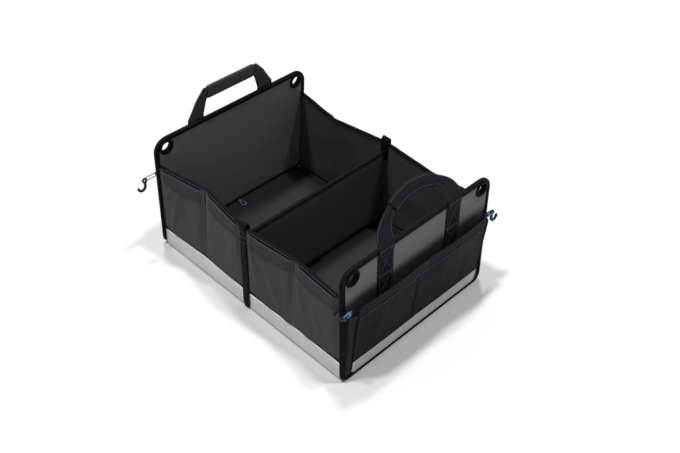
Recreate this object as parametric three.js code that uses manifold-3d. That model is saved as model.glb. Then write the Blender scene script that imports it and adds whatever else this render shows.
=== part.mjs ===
// Folding fabric organizer for a car boot: two stiff end panels with handles, eyelets and outside
// pockets, two lower side walls that fold inwards, a divider, and two floor boards that lift on a hinge.
// Millimetres. +X points to end B, +Y to the far side, +Z up; the origin is on the ground, in the middle.
import * as THREE from "three";
import { mergeVertices } from "three/addons/utils/BufferGeometryUtils.js";
import Module from "manifold-3d";

const wasm = await Module();
wasm.setup();

// Overall size
const bodyLength = 532; // over the outer sheets of the end panels, at the ground
const bodyWidth = 400; // over the binding of the end panels
const panelHeight = 267; // end panels, measured along the panel
const endLean = THREE.MathUtils.degToRad(2); // each end panel leans inwards
const wallHeight = 208; // side walls over their binding
const dividerHeight = 188;

// Sheets, boards and tapes
const fabric = 0.8; // coated fabric
const seat = 0.3; // clearance between pieces that lie on each other
const endBoard = 3;
const wallBoard = 2;
const dividerBoard = 5;
const floorBoard = 5;
const bottomSheet = 2.8;
const tape = 1.2; // binding tape
const endTapeWidth = 9.5; // binding tape on the face of an end panel
const wallTapeWidth = 9; // binding tape on the face of a side wall
const webbing = 1.6;

// End panel outline and eyelets
const topCorner = 30; // radius of the upper corners
const footCorner = 18; // radius of the lower corners
const eyeletBore = 21;
const eyeletOuter = 34;
const eyeletTube = 1; // wall of the tube through the panel
const eyeletLip = 1.2; // thickness of a flange
const eyeletFromSide = 27;
const eyeletFromTop = 22;

// Side walls
const wallInset = 6; // from the panel's side edge to the wall's outer face
const creaseX = 131; // fold crease from the middle
const foldInA = 20; // how far the crease of each half is pushed in at the top
const foldInB = 10;
const boardEdge = 4; // from a wall board to the crease, the divider or the end beside it
const bandHeight = 43; // top of the reflective bands
const bandSheet = 0.7;
const bandEdge = 1.2; // from a band to the edge of the sheet under it
const pocketSheet = 1;
const sidePocketBelow = 10; // from the wall's top edge to the pockets' mouths
const sidePocketDepth = 8; // how far the mouth of a side pocket stands out
const sidePocketFoot = 0.5; // from the band's top to the pocket's lower edge
const pocketRamp = 16; // length of the slope beside a pocket seam
const seamFlat = 3; // flat part of a pocket sheet beside a seam
const pocketUnderStrap = 3; // how far a pocket sheet reaches under the strap
const strapWidth = 18;
const strapRise = 12; // height of the strap's loop over the wall
const strapFoot = 2; // from the ground to the strap's lower end
const strapInside = 40; // length of the strap's inner leg below the wall's top

// End pockets
const endPocketTop = 190;
const endPocketHalf = 177; // half width of the pocket's front
const gussetFlange = 1.5; // from the binding tape to the gusset's foot
const endPocketDepth = 20; // at the mouth
const endPocketThin = 1.5; // at the foot
const endPocketSwell = 4; // extra depth in the middle of each half, at the mouth
const mouthCorner = 14; // radius of the front's upper corners

// Handles
const legSpacing = 182; // between the middles of the two legs
const legWidth = 40;
const legFoot = 150; // height of the legs' lower ends
const archHeight = 66; // top of the grip above the panel's top edge
const gripWebbing = 25; // height of the webbing inside the grip
const gripLength = 118;
const gripWall = 2.2;
const gripCorner = 3;
const archLift = 4; // straight part of a leg above the panel's top edge
const archBends = {
  lower: { outerIn: 8, outerRise: 17, innerIn: 3, innerRise: 15 },
  upper: { outerIn: 23, outerRise: 42, innerIn: 7, innerRise: 30 },
}; // how far each edge of a leg has turned in, and its height above the panel's top edge
const gripSlope = 9; // how much longer the webbing's upper edge is than its lower edge, at each end of the grip
const gripReveal = 1; // webbing that shows beside the grip's lower edge
const legStep = 7; // slope of a leg where it climbs onto the binding tape

// Handle B has flopped inwards, and its webbing is bent into a soft arch
const softTilt = THREE.MathUtils.degToRad(33);
const softHeight = 61; // middle of the webbing at the top, above its straight legs
const softSway = 8; // how far the top has moved to the far side
const softWidth = 20; // webbing inside the grip
const softHollow = 1.2; // length of the grip's hollow over the grip's own, so that it is open at both ends
const softNarrow = 0.45; // share of the arch, from its top, where the webbing starts to widen

// Elastic cords and hooks
const cordDiameter = 2;
const cordHeight = 178; // middle of a cord loop, in the pocket's hem
const cordSpread = 8; // between the two strands
const cordOut = 9.5; // from the panel's face to the middle of the loop
const hookSheet = 4;
const hookArc = 8; // middle line of the hook's bend
const hookBar = 4;
const hookDrop = 14; // from the eye to the middle of the bend
const hookEyeBore = 6.4;
const hookEyeOuter = 12;
const hookTip = 7; // straight end of the clipped hook, behind the panel
const shortReach = 203; // hook eye from the middle of the panel, along the width
const longReach = 221;

// Floor
const hingeX = 14; // hinge line of a floor board from the middle
const floorClear = 2; // from a floor board to the end panel
const foldClear = 2; // from a lifted floor board to the folded side wall
const floorCorner = 10;
const pullCord = 2.4;
const pullLength = 24;
const pullWidth = 13;
const pullEdge = 2; // from the pull loop to the outer edge of its floor board
const floorTabWidth = 4;
const floorTabLength = 165;
const floorTabSheet = 1.6;
const floorTabClear = 0.6; // from the tab to the divider

// Worked out from the sizes above
const endThickness = 2 * fabric + 2 * seat + endBoard;
const tapeReach = tape + seat;
const endOriginX = bodyLength / 2 - endThickness * Math.cos(endLean);
const endOriginZ = tapeReach * Math.sin(endLean);
const wallThickness = 2 * fabric + 2 * seat + wallBoard;
const wallOuter = bodyWidth / 2 - wallInset;
const wallInner = wallOuter - wallThickness;
const wallFoot = bottomSheet + seat;
const wallTop = wallHeight - tapeReach;
const sidePocketTop = wallHeight - sidePocketBelow;
const strapFace = wallOuter + tapeReach + seat;
const foldAtStrap = (Math.max(foldInA, foldInB) * strapWidth) / 2 / creaseX;
const strapInner = wallInner - foldAtStrap - tapeReach - seat - webbing;
const dividerHalf = strapInner - seat;
const dividerThickness = dividerBoard + 2 * (fabric + seat);
const floorHalf = wallInner - Math.max(foldInA, foldInB) - foldClear;
const floorZ = bottomSheet + seat;

const colours = {
  fabric: 0x2b2b2d,
  lining: 0x3a3a3c,
  sheet: 0x77777a,
  board: 0x8a7a62,
  tape: 0x141415,
  webbing: 0x1b1c22,
  band: 0xc9cacc,
  eyelet: 0x0c0c0d,
  hook: 0x101011,
  cord: 0x2f63b0,
};
const finishes = {
  fabric: [0.85, 0],
  lining: [0.8, 0],
  sheet: [0.55, 0],
  board: [0.9, 0],
  tape: [0.8, 0],
  webbing: [0.75, 0],
  band: [0.45, 0],
  eyelet: [0.35, 0.6],
  hook: [0.4, 0],
  cord: [0.6, 0],
};

function piece(name, geometry, finish, parent) {
  const [roughness, metalness] = finishes[finish];
  const material = new THREE.MeshStandardMaterial({ color: colours[finish], roughness, metalness });
  const mesh = new THREE.Mesh(geometry, material);
  mesh.name = name;
  parent.add(mesh);
  return mesh;
}

// Joining and cutting of closed meshes
function toSolid(geometry) {
  const bare = geometry.clone();
  bare.deleteAttribute("normal");
  bare.deleteAttribute("uv");
  const merged = mergeVertices(bare, 1e-4);
  return new wasm.Manifold(
    new wasm.Mesh({
      numProp: 3,
      vertProperties: merged.attributes.position.array,
      triVerts: new Uint32Array(merged.index.array),
    }),
  );
}

function toGeometry(solid) {
  const mesh = solid.getMesh();
  const geometry = new THREE.BufferGeometry();
  geometry.setAttribute("position", new THREE.BufferAttribute(Float32Array.from(mesh.vertProperties), 3));
  geometry.setIndex(new THREE.BufferAttribute(Uint32Array.from(mesh.triVerts), 1));
  return geometry;
}

function cut(geometry, tool) {
  return toGeometry(toSolid(geometry).subtract(toSolid(tool)));
}

function join(geometry, other) {
  return toGeometry(toSolid(geometry).add(toSolid(other)));
}

function signedVolume(geometry) {
  const { index, attributes } = geometry;
  const corners = [new THREE.Vector3(), new THREE.Vector3(), new THREE.Vector3()];
  let sum = 0;
  for (let i = 0; i < index.count; i += 3) {
    corners.forEach((corner, k) => corner.fromBufferAttribute(attributes.position, index.getX(i + k)));
    sum += corners[0].dot(corners[1].cross(corners[2]));
  }
  return sum;
}

// A closed solid through a row of rings with equal numbers of points, capped at both ends
function loft(rings) {
  const count = rings[0].length;
  const triangles = [];
  for (let r = 0; r + 1 < rings.length; r += 1) {
    for (let i = 0; i < count; i += 1) {
      const [a, b] = [r * count + i, r * count + ((i + 1) % count)];
      triangles.push([a, b, b + count], [a, b + count, a + count]);
    }
  }
  // Each cap is a strip of quads between the first half of its ring and the second
  const lastRing = (rings.length - 1) * count;
  for (let i = 0; i + 1 < count / 2; i += 1) {
    const [a, b, c, d] = [i, i + 1, count - 2 - i, count - 1 - i];
    triangles.push([b, a, d], [b, d, c]);
    triangles.push(...[[a, b, d], [b, c, d]].map((face) => face.map((k) => lastRing + k)));
  }
  const geometry = new THREE.BufferGeometry();
  const numbers = rings.flat().flatMap((p) => p.toArray());
  geometry.setAttribute("position", new THREE.Float32BufferAttribute(numbers, 3));
  geometry.setIndex(triangles.flat());
  if (signedVolume(geometry) < 0) {
    geometry.setIndex(triangles.flatMap(([a, b, c]) => [a, c, b]));
  }
  return geometry;
}

// A sheet over the grid us by vs, where at(u, v, offset) gives a point at a distance from the surface
function sheetOver(us, vs, at, from, to) {
  return loft(
    us.map((u) => [...vs.map((v) => at(u, v, from)), ...vs.toReversed().map((v) => at(u, v, to))]),
  );
}

function steps(from, to, count) {
  return Array.from({ length: count + 1 }, (_, i) => from + ((to - from) * i) / count);
}

function extrude(shape, depth, curveSegments = 8) {
  return new THREE.ExtrudeGeometry(shape, { depth, bevelEnabled: false, curveSegments });
}

// Turns a drawing in X and Y with depth in Z into one in Y and Z with depth in X
function stand(geometry) {
  const axes = [new THREE.Vector3(0, 1, 0), new THREE.Vector3(0, 0, 1), new THREE.Vector3(1, 0, 0)];
  return geometry.applyMatrix4(new THREE.Matrix4().makeBasis(...axes));
}

function roundedRect(left, right, foot, top, footRadius, topRadius) {
  const shape = new THREE.Shape();
  shape.moveTo(left + footRadius, foot);
  shape.lineTo(right - footRadius, foot);
  shape.absarc(right - footRadius, foot + footRadius, footRadius, -Math.PI / 2, 0);
  shape.lineTo(right, top - topRadius);
  shape.absarc(right - topRadius, top - topRadius, topRadius, 0, Math.PI / 2);
  shape.lineTo(left + topRadius, top);
  shape.absarc(left + topRadius, top - topRadius, topRadius, Math.PI / 2, Math.PI);
  shape.lineTo(left, foot + footRadius);
  shape.absarc(left + footRadius, foot + footRadius, footRadius, Math.PI, 1.5 * Math.PI);
  return shape;
}

// A bar of even width along a row of points, as an outline
function bar(points, width) {
  const sides = [1, -1].map((side) =>
    points.map((p, i) => {
      const before = points[Math.max(i - 1, 0)];
      const after = points[Math.min(i + 1, points.length - 1)];
      const along = after.clone().sub(before).normalize();
      return new THREE.Vector2(p.x - (side * along.y * width) / 2, p.y + (side * along.x * width) / 2);
    }),
  );
  return new THREE.Shape([...sides[0], ...sides[1].toReversed()]);
}

// A round cord along a row of points
function cordAlong(points, diameter) {
  const corners = steps(0, 2 * Math.PI, 8).slice(0, -1);
  const radius = diameter / 2;
  const round = corners.map((a) => new THREE.Vector2(radius * Math.cos(a), radius * Math.sin(a)));
  const curve = new THREE.CatmullRomCurve3(points);
  return new THREE.ExtrudeGeometry(new THREE.Shape(round), {
    extrudePath: curve,
    steps: Math.ceil(curve.getLength() / diameter),
  });
}

// Half circle from one side of a loop to the other, with the rounded end towards +Y
function loopEnd(centreY, radius) {
  return steps(0, Math.PI, 4).map((a) => [-radius * Math.cos(a), centreY + radius * Math.sin(a)]);
}

// End panels, drawn in their own frame: X outwards from the lining's inner face, Y along the width
function panelOutline(inset) {
  const half = bodyWidth / 2 - inset;
  return roundedRect(-half, half, inset, panelHeight - inset, footCorner - inset, topCorner - inset);
}

const eyeletY = bodyWidth / 2 - eyeletFromSide;
const eyeletZ = panelHeight - eyeletFromTop;

function panelLayer(from, thickness) {
  const outline = panelOutline(tapeReach);
  for (const y of [-eyeletY, eyeletY]) {
    const hole = new THREE.Path();
    hole.absarc(y, eyeletZ, eyeletBore / 2 + eyeletTube + seat, 0, 2 * Math.PI, true);
    outline.holes.push(hole);
  }
  return stand(extrude(outline, thickness).translate(0, 0, from));
}

function endBinding() {
  const ring = panelOutline(0);
  ring.holes.push(panelOutline(endTapeWidth));
  const around = extrude(ring, endThickness + 2 * tapeReach).translate(0, 0, -tapeReach);
  const inside = extrude(panelOutline(tape), endThickness + 2 * seat).translate(0, 0, -seat);
  return stand(cut(around, inside));
}

function eyelet() {
  const bore = eyeletBore / 2;
  const tube = bore + eyeletTube;
  const flange = eyeletOuter / 2;
  const inner = -tapeReach - seat;
  const outer = endThickness + tapeReach + seat;
  const profile = [
    [bore, inner - eyeletLip],
    [flange, inner - eyeletLip],
    [flange, inner],
    [tube, inner],
    [tube, outer],
    [flange, outer],
    [flange, outer + eyeletLip],
    [bore, outer + eyeletLip],
    [bore, inner - eyeletLip],
  ];
  const points = profile.map(([r, x]) => new THREE.Vector2(r, x));
  return new THREE.LatheGeometry(points, 24).rotateZ(-Math.PI / 2);
}

// End pocket: share is the height from foot to mouth, 0 to 1
const panelFace = endThickness + seat;
const endPocketFoot = endTapeWidth + gussetFlange;
const gussetHalf = bodyWidth / 2 - endTapeWidth - gussetFlange;

// Height lost at a distance along the width to a rounded corner of the pocket's front
function cornerDrop(y, radius) {
  const over = Math.min(Math.abs(y) - (endPocketHalf - radius), radius);
  return over > 0 ? radius - Math.sqrt(radius ** 2 - over ** 2) : 0;
}

function mouthHeight(y) {
  return endPocketTop - cornerDrop(y, mouthCorner);
}

function footHeight(y) {
  return endPocketFoot + cornerDrop(y, footCorner - endTapeWidth);
}

function endPocketOut(y, share) {
  const swell = endPocketSwell * Math.sin((Math.PI * Math.min(Math.abs(y), endPocketHalf)) / endPocketHalf);
  return endPocketThin + (endPocketDepth - endPocketThin + swell) * share;
}

const frontHalf = [
  ...steps(0, endPocketHalf - mouthCorner, 7),
  ...[0.5, 0.8, 0.95, 1].map((part) => endPocketHalf - mouthCorner * (1 - part)),
];
const frontY = [...frontHalf.slice(1).toReversed().map((y) => -y), ...frontHalf];

function endPocketRing(share, back, skin, lift) {
  const height = (y) => footHeight(y) + share * (mouthHeight(y) - footHeight(y)) + lift;
  const inward = (y, half) => (y * (half - skin)) / endPocketHalf;
  const front = frontY.map(
    (y) => new THREE.Vector3(panelFace + endPocketOut(y, share) - skin, inward(y, endPocketHalf), height(y)),
  );
  const rear = frontY.map((y) => new THREE.Vector3(back, inward(y, gussetHalf), height(y)));
  return [...front, ...rear.toReversed()];
}

function endPocket() {
  const outside = loft([0, 1].map((share) => endPocketRing(share, panelFace, 0, 0)));
  const lowest = 0.02;
  const behind = panelFace - pocketSheet;
  const rings = [lowest, 1].map((share) => endPocketRing(share, behind, pocketSheet, 0));
  const above = endPocketRing(1, behind, pocketSheet, mouthCorner);
  return cut(outside, loft([...rings, above]));
}

function endBand() {
  const at = (y, isTop, offset) => {
    const z = isTop ? bandHeight : footHeight(y) + bandEdge;
    const share = (z - footHeight(y)) / (mouthHeight(y) - footHeight(y));
    return new THREE.Vector3(panelFace + endPocketOut(y, share) + offset, y, z);
  };
  return sheetOver(frontY, [false, true], at, seat, seat + bandSheet);
}

// Handle webbing: each station is the outer and the inner edge of the band of webbing, as [Y, Z]
const bindingFace = endThickness + tapeReach + seat;
const gripTop = panelHeight + archHeight - gripWall - seat;
const gripFoot = gripTop - gripWebbing;
const pivotZ = panelHeight + 1;
const climbTop = panelHeight - endTapeWidth - tapeReach;
const gripAround = seat + gripWall;

// Point of a handle at the height up over the pivot, turned inwards by the tilt
function turnedPoint(y, up, offset, tilt) {
  return new THREE.Vector3(
    bindingFace + offset * Math.cos(tilt) - up * Math.sin(tilt),
    y,
    pivotZ + up * Math.cos(tilt) + offset * Math.sin(tilt),
  );
}

function legPoint(y, z, offset) {
  const face = z < climbTop ? panelFace : bindingFace;
  return new THREE.Vector3(face + offset, y, z);
}

function straightHandle() {
  const outer = (legSpacing + legWidth) / 2;
  const inner = (legSpacing - legWidth) / 2;
  const gripEnd = gripLength / 2;
  const straight = [legFoot, climbTop - legStep, climbTop, pivotZ, pivotZ + archLift];
  const half = [
    ...straight.map((z) => [
      [outer, z],
      [inner, z],
    ]),
    ...[archBends.lower, archBends.upper].map((bend) => [
      [outer - bend.outerIn, panelHeight + bend.outerRise],
      [inner - bend.innerIn, panelHeight + bend.innerRise],
    ]),
    [
      [gripEnd + gripReveal + gripSlope, gripTop],
      [gripEnd + gripReveal, gripFoot],
    ],
  ];
  const mirrored = half.map((pair) => pair.map(([y, z]) => [-y, z]));
  const stations = [...half, ...mirrored.toReversed()];
  const place = ([y, z], offset) =>
    z > pivotZ ? turnedPoint(y, z - pivotZ, offset, 0) : legPoint(y, z, offset);
  return loft(
    stations.map(([a, b]) => [place(a, 0), place(b, 0), place(b, webbing), place(a, webbing)]),
  );
}

function straightGrip() {
  const section = roundedRect(
    -gripAround,
    webbing + gripAround,
    gripFoot - gripAround,
    gripTop + gripAround,
    gripCorner,
    gripCorner,
  );
  section.holes.push(
    new THREE.Path([
      new THREE.Vector2(-seat, gripFoot - seat),
      new THREE.Vector2(-seat, gripTop + seat),
      new THREE.Vector2(webbing + seat, gripTop + seat),
      new THREE.Vector2(webbing + seat, gripFoot - seat),
    ]),
  );
  const geometry = extrude(section, gripLength, 5).translate(0, 0, -gripLength / 2);
  return geometry.rotateX(Math.PI / 2).translate(bindingFace, 0, 0);
}

// Soft arch: the angle runs from -90 degrees at the near leg over 0 at the top to 90 at the far leg
function softPoint(angle, across, offset) {
  const [sin, cos] = [Math.sin(angle), Math.cos(angle)];
  const steep = new THREE.Vector2((2 * sin) / legSpacing, cos / softHeight).normalize();
  const y = (legSpacing / 2) * sin + softSway * cos + steep.x * across;
  return turnedPoint(y, archLift + softHeight * cos + steep.y * across, offset, softTilt);
}

function softHalf(angle) {
  const widen = THREE.MathUtils.smoothstep(Math.abs(angle) / (Math.PI / 2), softNarrow, 1);
  return (softWidth + (legWidth - softWidth) * widen) / 2;
}

function softHandle() {
  const leg = (side) =>
    [legFoot, climbTop - legStep, climbTop, pivotZ].map((z) => {
      const [a, b] = [1, -1].map((edge) => (side * (legSpacing + edge * legWidth)) / 2);
      return [legPoint(a, z, 0), legPoint(b, z, 0), legPoint(b, z, webbing), legPoint(a, z, webbing)];
    });
  const arch = steps(-Math.PI / 2, Math.PI / 2, 24).map((angle) => {
    const half = softHalf(angle);
    return [
      softPoint(angle, half, 0),
      softPoint(angle, -half, 0),
      softPoint(angle, -half, webbing),
      softPoint(angle, half, webbing),
    ];
  });
  return loft([...leg(-1), ...arch, ...leg(1).toReversed()]);
}

function softGrip() {
  const end = gripLength / legSpacing;
  const half = softWidth / 2 + gripAround;
  const cornerAt = gripCorner / 2;
  const around = [
    [half, -gripAround + cornerAt],
    [half - cornerAt, -gripAround],
    [cornerAt - half, -gripAround],
    [-half, -gripAround + cornerAt],
    [-half, webbing + gripAround - cornerAt],
    [cornerAt - half, webbing + gripAround],
    [half - cornerAt, webbing + gripAround],
    [half, webbing + gripAround - cornerAt],
  ];
  const sleeve = steps(-end, end, 12).map((angle) =>
    around.map(([across, offset]) => softPoint(angle, across, offset)),
  );
  const hollow = steps(-end * softHollow, end * softHollow, 14).map((angle) => {
    const inside = softHalf(angle) + seat;
    return [
      softPoint(angle, inside, -seat),
      softPoint(angle, -inside, -seat),
      softPoint(angle, -inside, webbing + seat),
      softPoint(angle, inside, webbing + seat),
    ];
  });
  return cut(loft(sleeve), loft(hollow));
}

// Outer surface of the gusset beside the hem, as a distance along the width
function gussetAt(out) {
  const share = (cordHeight - endPocketFoot) / (endPocketTop - endPocketFoot);
  return gussetHalf - ((gussetHalf - endPocketHalf) * out) / endPocketOut(endPocketHalf, share);
}

// Cord loop around a hook's eye at the distance reach, in a plane turned about the loop's own length
function cordLoop(reach, side, turned) {
  const radius = cordSpread / 2;
  const bend = loopEnd(reach - radius, radius);
  const start = (across) => {
    const out = cordOut + (turned ? 0 : across) - cordDiameter / 2;
    return [across, gussetAt(out) + seat];
  };
  const first = start(-radius);
  const last = start(radius);
  const middle = (a, b) => [(a[0] + b[0]) / 2, (a[1] + b[1]) / 2];
  const route = [first, middle(first, bend[0]), ...bend, middle(last, bend.at(-1)), last];
  const points = route.map(([across, y]) =>
    turned
      ? new THREE.Vector3(panelFace + cordOut, side * y, cordHeight + across)
      : new THREE.Vector3(panelFace + cordOut + across, side * y, cordHeight),
  );
  return cordAlong(points, cordDiameter);
}

// From the middle of the eye to the cord in it: a hanging hook rests on the cord, and a clipped one
// pulls the eye's edges into the end of the loop
const eyeSlack = (hookEyeBore - cordDiameter) / 2 - seat;
const clippedSlack = eyeSlack / 2;

function hookFrom(points) {
  const eye = new THREE.Shape();
  eye.absarc(0, 0, hookEyeOuter / 2, 0, 2 * Math.PI);
  const bore = new THREE.Path();
  bore.absarc(0, 0, hookEyeBore / 2, 0, 2 * Math.PI);
  eye.holes.push(bore);
  const ring = extrude(eye, hookSheet, 12);
  return join(ring, extrude(bar(points, hookBar), hookSheet)).translate(0, 0, -hookSheet / 2);
}

// The hook hangs beside the panel, in a plane parallel to it
function hangingHook(reach, side) {
  const bend = steps(Math.PI, 2.1 * Math.PI, 10).map(
    (a) => new THREE.Vector2(side * hookArc * (1 + Math.cos(a)), hookArc * Math.sin(a) - hookDrop),
  );
  const shank = new THREE.Vector2(0, -(hookEyeBore + hookEyeOuter) / 4);
  const geometry = stand(hookFrom([shank, ...bend]));
  return geometry.translate(panelFace + cordOut, side * reach, cordHeight - eyeSlack);
}

// The hook is clipped over the panel's side edge, in a level plane
function clippedHook(reach, side) {
  const middle = new THREE.Vector2(
    endThickness / 2 - panelFace - cordOut,
    side * (hookArc / 4 - clippedSlack),
  );
  const bend = steps(0, Math.PI, 10).map(
    (a) => new THREE.Vector2(middle.x + hookArc * Math.cos(a), middle.y + side * hookArc * Math.sin(a)),
  );
  const eyeRim = new THREE.Vector2(-(hookEyeBore + hookEyeOuter) / 4, 0);
  const tip = bend.at(-1).clone().setY(bend.at(-1).y - side * hookTip);
  const geometry = hookFrom([eyeRim, ...bend, tip]);
  return geometry.translate(panelFace + cordOut, side * (reach + clippedSlack), cordHeight);
}

function endAssembly(letter, webbingLoop, sleeve, loops) {
  const panel = new THREE.Group();
  const name = (what) => `end_${letter}_${what}`;
  piece(name("lining"), panelLayer(0, fabric), "lining", panel);
  piece(name("stiffener_board"), panelLayer(fabric + seat, endBoard), "board", panel);
  piece(name("outer_sheet"), panelLayer(endThickness - fabric, fabric), "sheet", panel);
  piece(name("binding"), endBinding(), "tape", panel);
  piece(name("pocket"), endPocket(), "fabric", panel);
  piece(name("reflective_band"), endBand(), "band", panel);
  piece(name("handle_webbing"), webbingLoop, "webbing", panel);
  piece(name("handle_grip"), sleeve, "webbing", panel);
  for (const { at, side, reach, clipped } of loops) {
    const ring = piece(name(`eyelet_${at}`), eyelet(), "eyelet", panel);
    ring.position.set(0, side * eyeletY, eyeletZ);
    piece(name(`cord_loop_${at}`), cordLoop(reach, side, clipped), "cord", panel);
    const hook = clipped ? clippedHook(reach, side) : hangingHook(reach, side);
    piece(name(`hook_${at}`), hook, "hook", panel);
  }
  panel.position.set(endOriginX, 0, endOriginZ);
  panel.rotation.y = -endLean;
  return panel;
}

// Side walls: t runs from -2 to 2 along the wall, with the fold creases at -1 and 1
function wallEndAt(z) {
  return endOriginX - (z - endOriginZ) * Math.tan(endLean) - (tapeReach + seat) / Math.cos(endLean);
}

function alongWall(t, z) {
  const part = Math.abs(t);
  const outerPart = Math.max(part - 1, 0) * (wallEndAt(z) - creaseX);
  return Math.sign(t) * (Math.min(part, 1) * creaseX + outerPart);
}

function foldIn(t, z) {
  const deepest = t < 0 ? foldInA : foldInB;
  return (deepest * (1 - Math.abs(Math.abs(t) - 1)) * z) / wallHeight;
}

function onWall(side, t, z, offset) {
  return new THREE.Vector3(alongWall(t, z), side * (wallOuter + offset - foldIn(t, z)), z);
}

const wallT = steps(-2, 2, 32);
const wallZ = steps(wallFoot, wallTop, 4);

function wallLayer(side, from, to) {
  return sheetOver(wallT, wallZ, (t, z, offset) => onWall(side, t, z, offset), from, to);
}

// Stretch of t that leaves out a distance in millimetres at both ends
function tSpan(low, high, edge) {
  const length = Math.max(Math.abs(low), Math.abs(high)) > 1 ? wallEndAt(wallTop) - creaseX : creaseX;
  return [low + edge / length, high - edge / length];
}

function wallBoardOf(side, quarter) {
  const [from, to] = tSpan(quarter, quarter + 1, boardEdge);
  const heights = steps(wallFoot + boardEdge, wallTop - boardEdge, 4);
  const at = (t, z, offset) => onWall(side, t, z, offset);
  const outer = -(fabric + seat);
  return sheetOver(steps(from, to, 8), heights, at, outer, outer - wallBoard);
}

function wallBinding(side) {
  const [out, wallFaceOut] = [tapeReach, seat];
  const [inn, wallFaceIn] = [-wallThickness - tapeReach, -wallThickness - seat];
  const lower = wallHeight - wallTapeWidth;
  const slotTop = wallTop + seat;
  const section = [
    [out, lower],
    [out, wallHeight],
    [inn, wallHeight],
    [inn, lower],
    [wallFaceIn, lower],
    [wallFaceIn, slotTop],
    [wallFaceOut, slotTop],
    [wallFaceOut, lower],
  ];
  return loft(wallT.map((t) => section.map(([offset, z]) => onWall(side, t, z, offset))));
}

function wallBand(side) {
  const heights = [wallFoot + bandEdge, (wallFoot + bandHeight) / 2, bandHeight];
  const at = (t, z, offset) => onWall(side, t, z, offset);
  return sheetOver(wallT, heights, at, seat, seat + bandSheet);
}

// Side pocket sheet of one half, sewn down at the strap, at the crease and at the end
function sidePocket(side, half) {
  const heights = steps(bandHeight + sidePocketFoot, sidePocketTop, 5);
  const rise = (fromSeam) => THREE.MathUtils.smoothstep(fromSeam, seamFlat, pocketRamp);
  const seamSteps = [0, ...steps(seamFlat, pocketRamp, 3)];
  const inLength = creaseX - strapWidth / 2 + pocketUnderStrap;
  const outLength = wallEndAt(sidePocketTop) - creaseX;
  const quarterSteps = (length) => [
    ...seamSteps,
    ...steps(pocketRamp, length - pocketRamp, 4).slice(1, -1),
    ...seamSteps.toReversed().map((step) => length - step),
  ];
  const inner = quarterSteps(inLength).map((step) => [
    (creaseX - inLength + step) / creaseX,
    rise(Math.min(step, inLength - step)),
  ]);
  const outer = quarterSteps(outLength).map((step) => [
    1 + step / outLength,
    rise(Math.min(step, outLength - step)),
  ]);
  const at = ([t, open], z, offset) => {
    const share = (z - heights[0]) / (heights.at(-1) - heights[0]);
    return onWall(side, half * t, z, seat + offset + sidePocketDepth * open * share);
  };
  return sheetOver([...inner, ...outer.slice(1)], heights, at, 0, pocketSheet);
}

// Strap over the side wall at the divider
function strap(side) {
  const outY = strapFace + webbing / 2;
  const inY = strapInner + webbing / 2;
  const top = wallHeight + strapRise;
  const radius = (outY - inY) / 2;
  const over = steps(0, Math.PI, 8).map((a) => [
    (outY + inY) / 2 + radius * Math.cos(a),
    top - radius + radius * Math.sin(a),
  ]);
  const route = [[outY, strapFoot], ...over, [inY, wallHeight - strapInside]];
  const outline = bar(route.map(([y, z]) => new THREE.Vector2(side * y, z)), webbing);
  return stand(extrude(outline, strapWidth).translate(0, 0, -strapWidth / 2));
}

function sideAssembly(where, side) {
  const wall = new THREE.Group();
  const name = (what) => `side_${where}_${what}`;
  piece(name("outer_sheet"), wallLayer(side, -fabric, 0), "fabric", wall);
  piece(name("lining"), wallLayer(side, -wallThickness, fabric - wallThickness), "lining", wall);
  [-2, -1, 0, 1].forEach((quarter, i) => {
    piece(name(`board_${i + 1}`), wallBoardOf(side, quarter), "board", wall);
  });
  piece(name("binding"), wallBinding(side), "tape", wall);
  piece(name("reflective_band"), wallBand(side), "band", wall);
  piece(name("pocket_a"), sidePocket(side, -1), "fabric", wall);
  piece(name("pocket_b"), sidePocket(side, 1), "fabric", wall);
  piece(name("strap"), strap(side), "webbing", wall);
  return wall;
}

// Inside of the organizer
function block(sizeX, sizeY, from, to) {
  return new THREE.BoxGeometry(sizeX, sizeY, to - from).translate(0, 0, (from + to) / 2);
}

function dividerCover() {
  const outside = block(dividerThickness, 2 * dividerHalf, floorZ, dividerHeight);
  const room = 2 * (dividerHalf - fabric);
  return cut(outside, block(dividerBoard + 2 * seat, room, floorZ - seat, dividerHeight - fabric));
}

function dividerBoardBlock() {
  const half = dividerHalf - fabric - seat;
  return block(dividerBoard, 2 * half, floorZ, dividerHeight - fabric - seat);
}

function floorBoardPlate() {
  const far = wallEndAt(floorZ + floorBoard) - floorClear;
  const outline = roundedRect(hingeX, far, -floorHalf, floorHalf, floorCorner, floorCorner);
  return extrude(outline, floorBoard, 6).translate(0, 0, floorZ);
}

function pullLoop() {
  const far = wallEndAt(floorZ + floorBoard) - floorClear - pullEdge - pullCord / 2;
  const radius = (pullWidth - pullCord) / 2;
  const bend = loopEnd(0, radius).map(([y, x]) => [far - pullLength + pullCord + radius - x, y]);
  const ends = pullCord * 0.6;
  const route = [[far, -ends], [far - pullLength / 4, -ends * 1.4], ...bend];
  route.push([far - pullLength / 4, ends * 1.4], [far, ends]);
  const height = floorZ + floorBoard + seat + pullCord / 2;
  return cordAlong(route.map(([x, y]) => new THREE.Vector3(x, y, height)), pullCord);
}

function floorTab() {
  const centreX = (dividerThickness + floorTabWidth) / 2 + floorTabClear;
  return block(floorTabWidth, floorTabLength, floorZ, floorZ + floorTabSheet).translate(
    centreX,
    -floorTabLength / 2,
    0,
  );
}

const organizer = new THREE.Group();
organizer.name = "car_organizer";

const endB = endAssembly("b", softHandle(), softGrip(), [
  { at: "far", side: 1, reach: shortReach, clipped: false },
  { at: "near", side: -1, reach: shortReach, clipped: true },
]);
organizer.add(endB);

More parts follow.
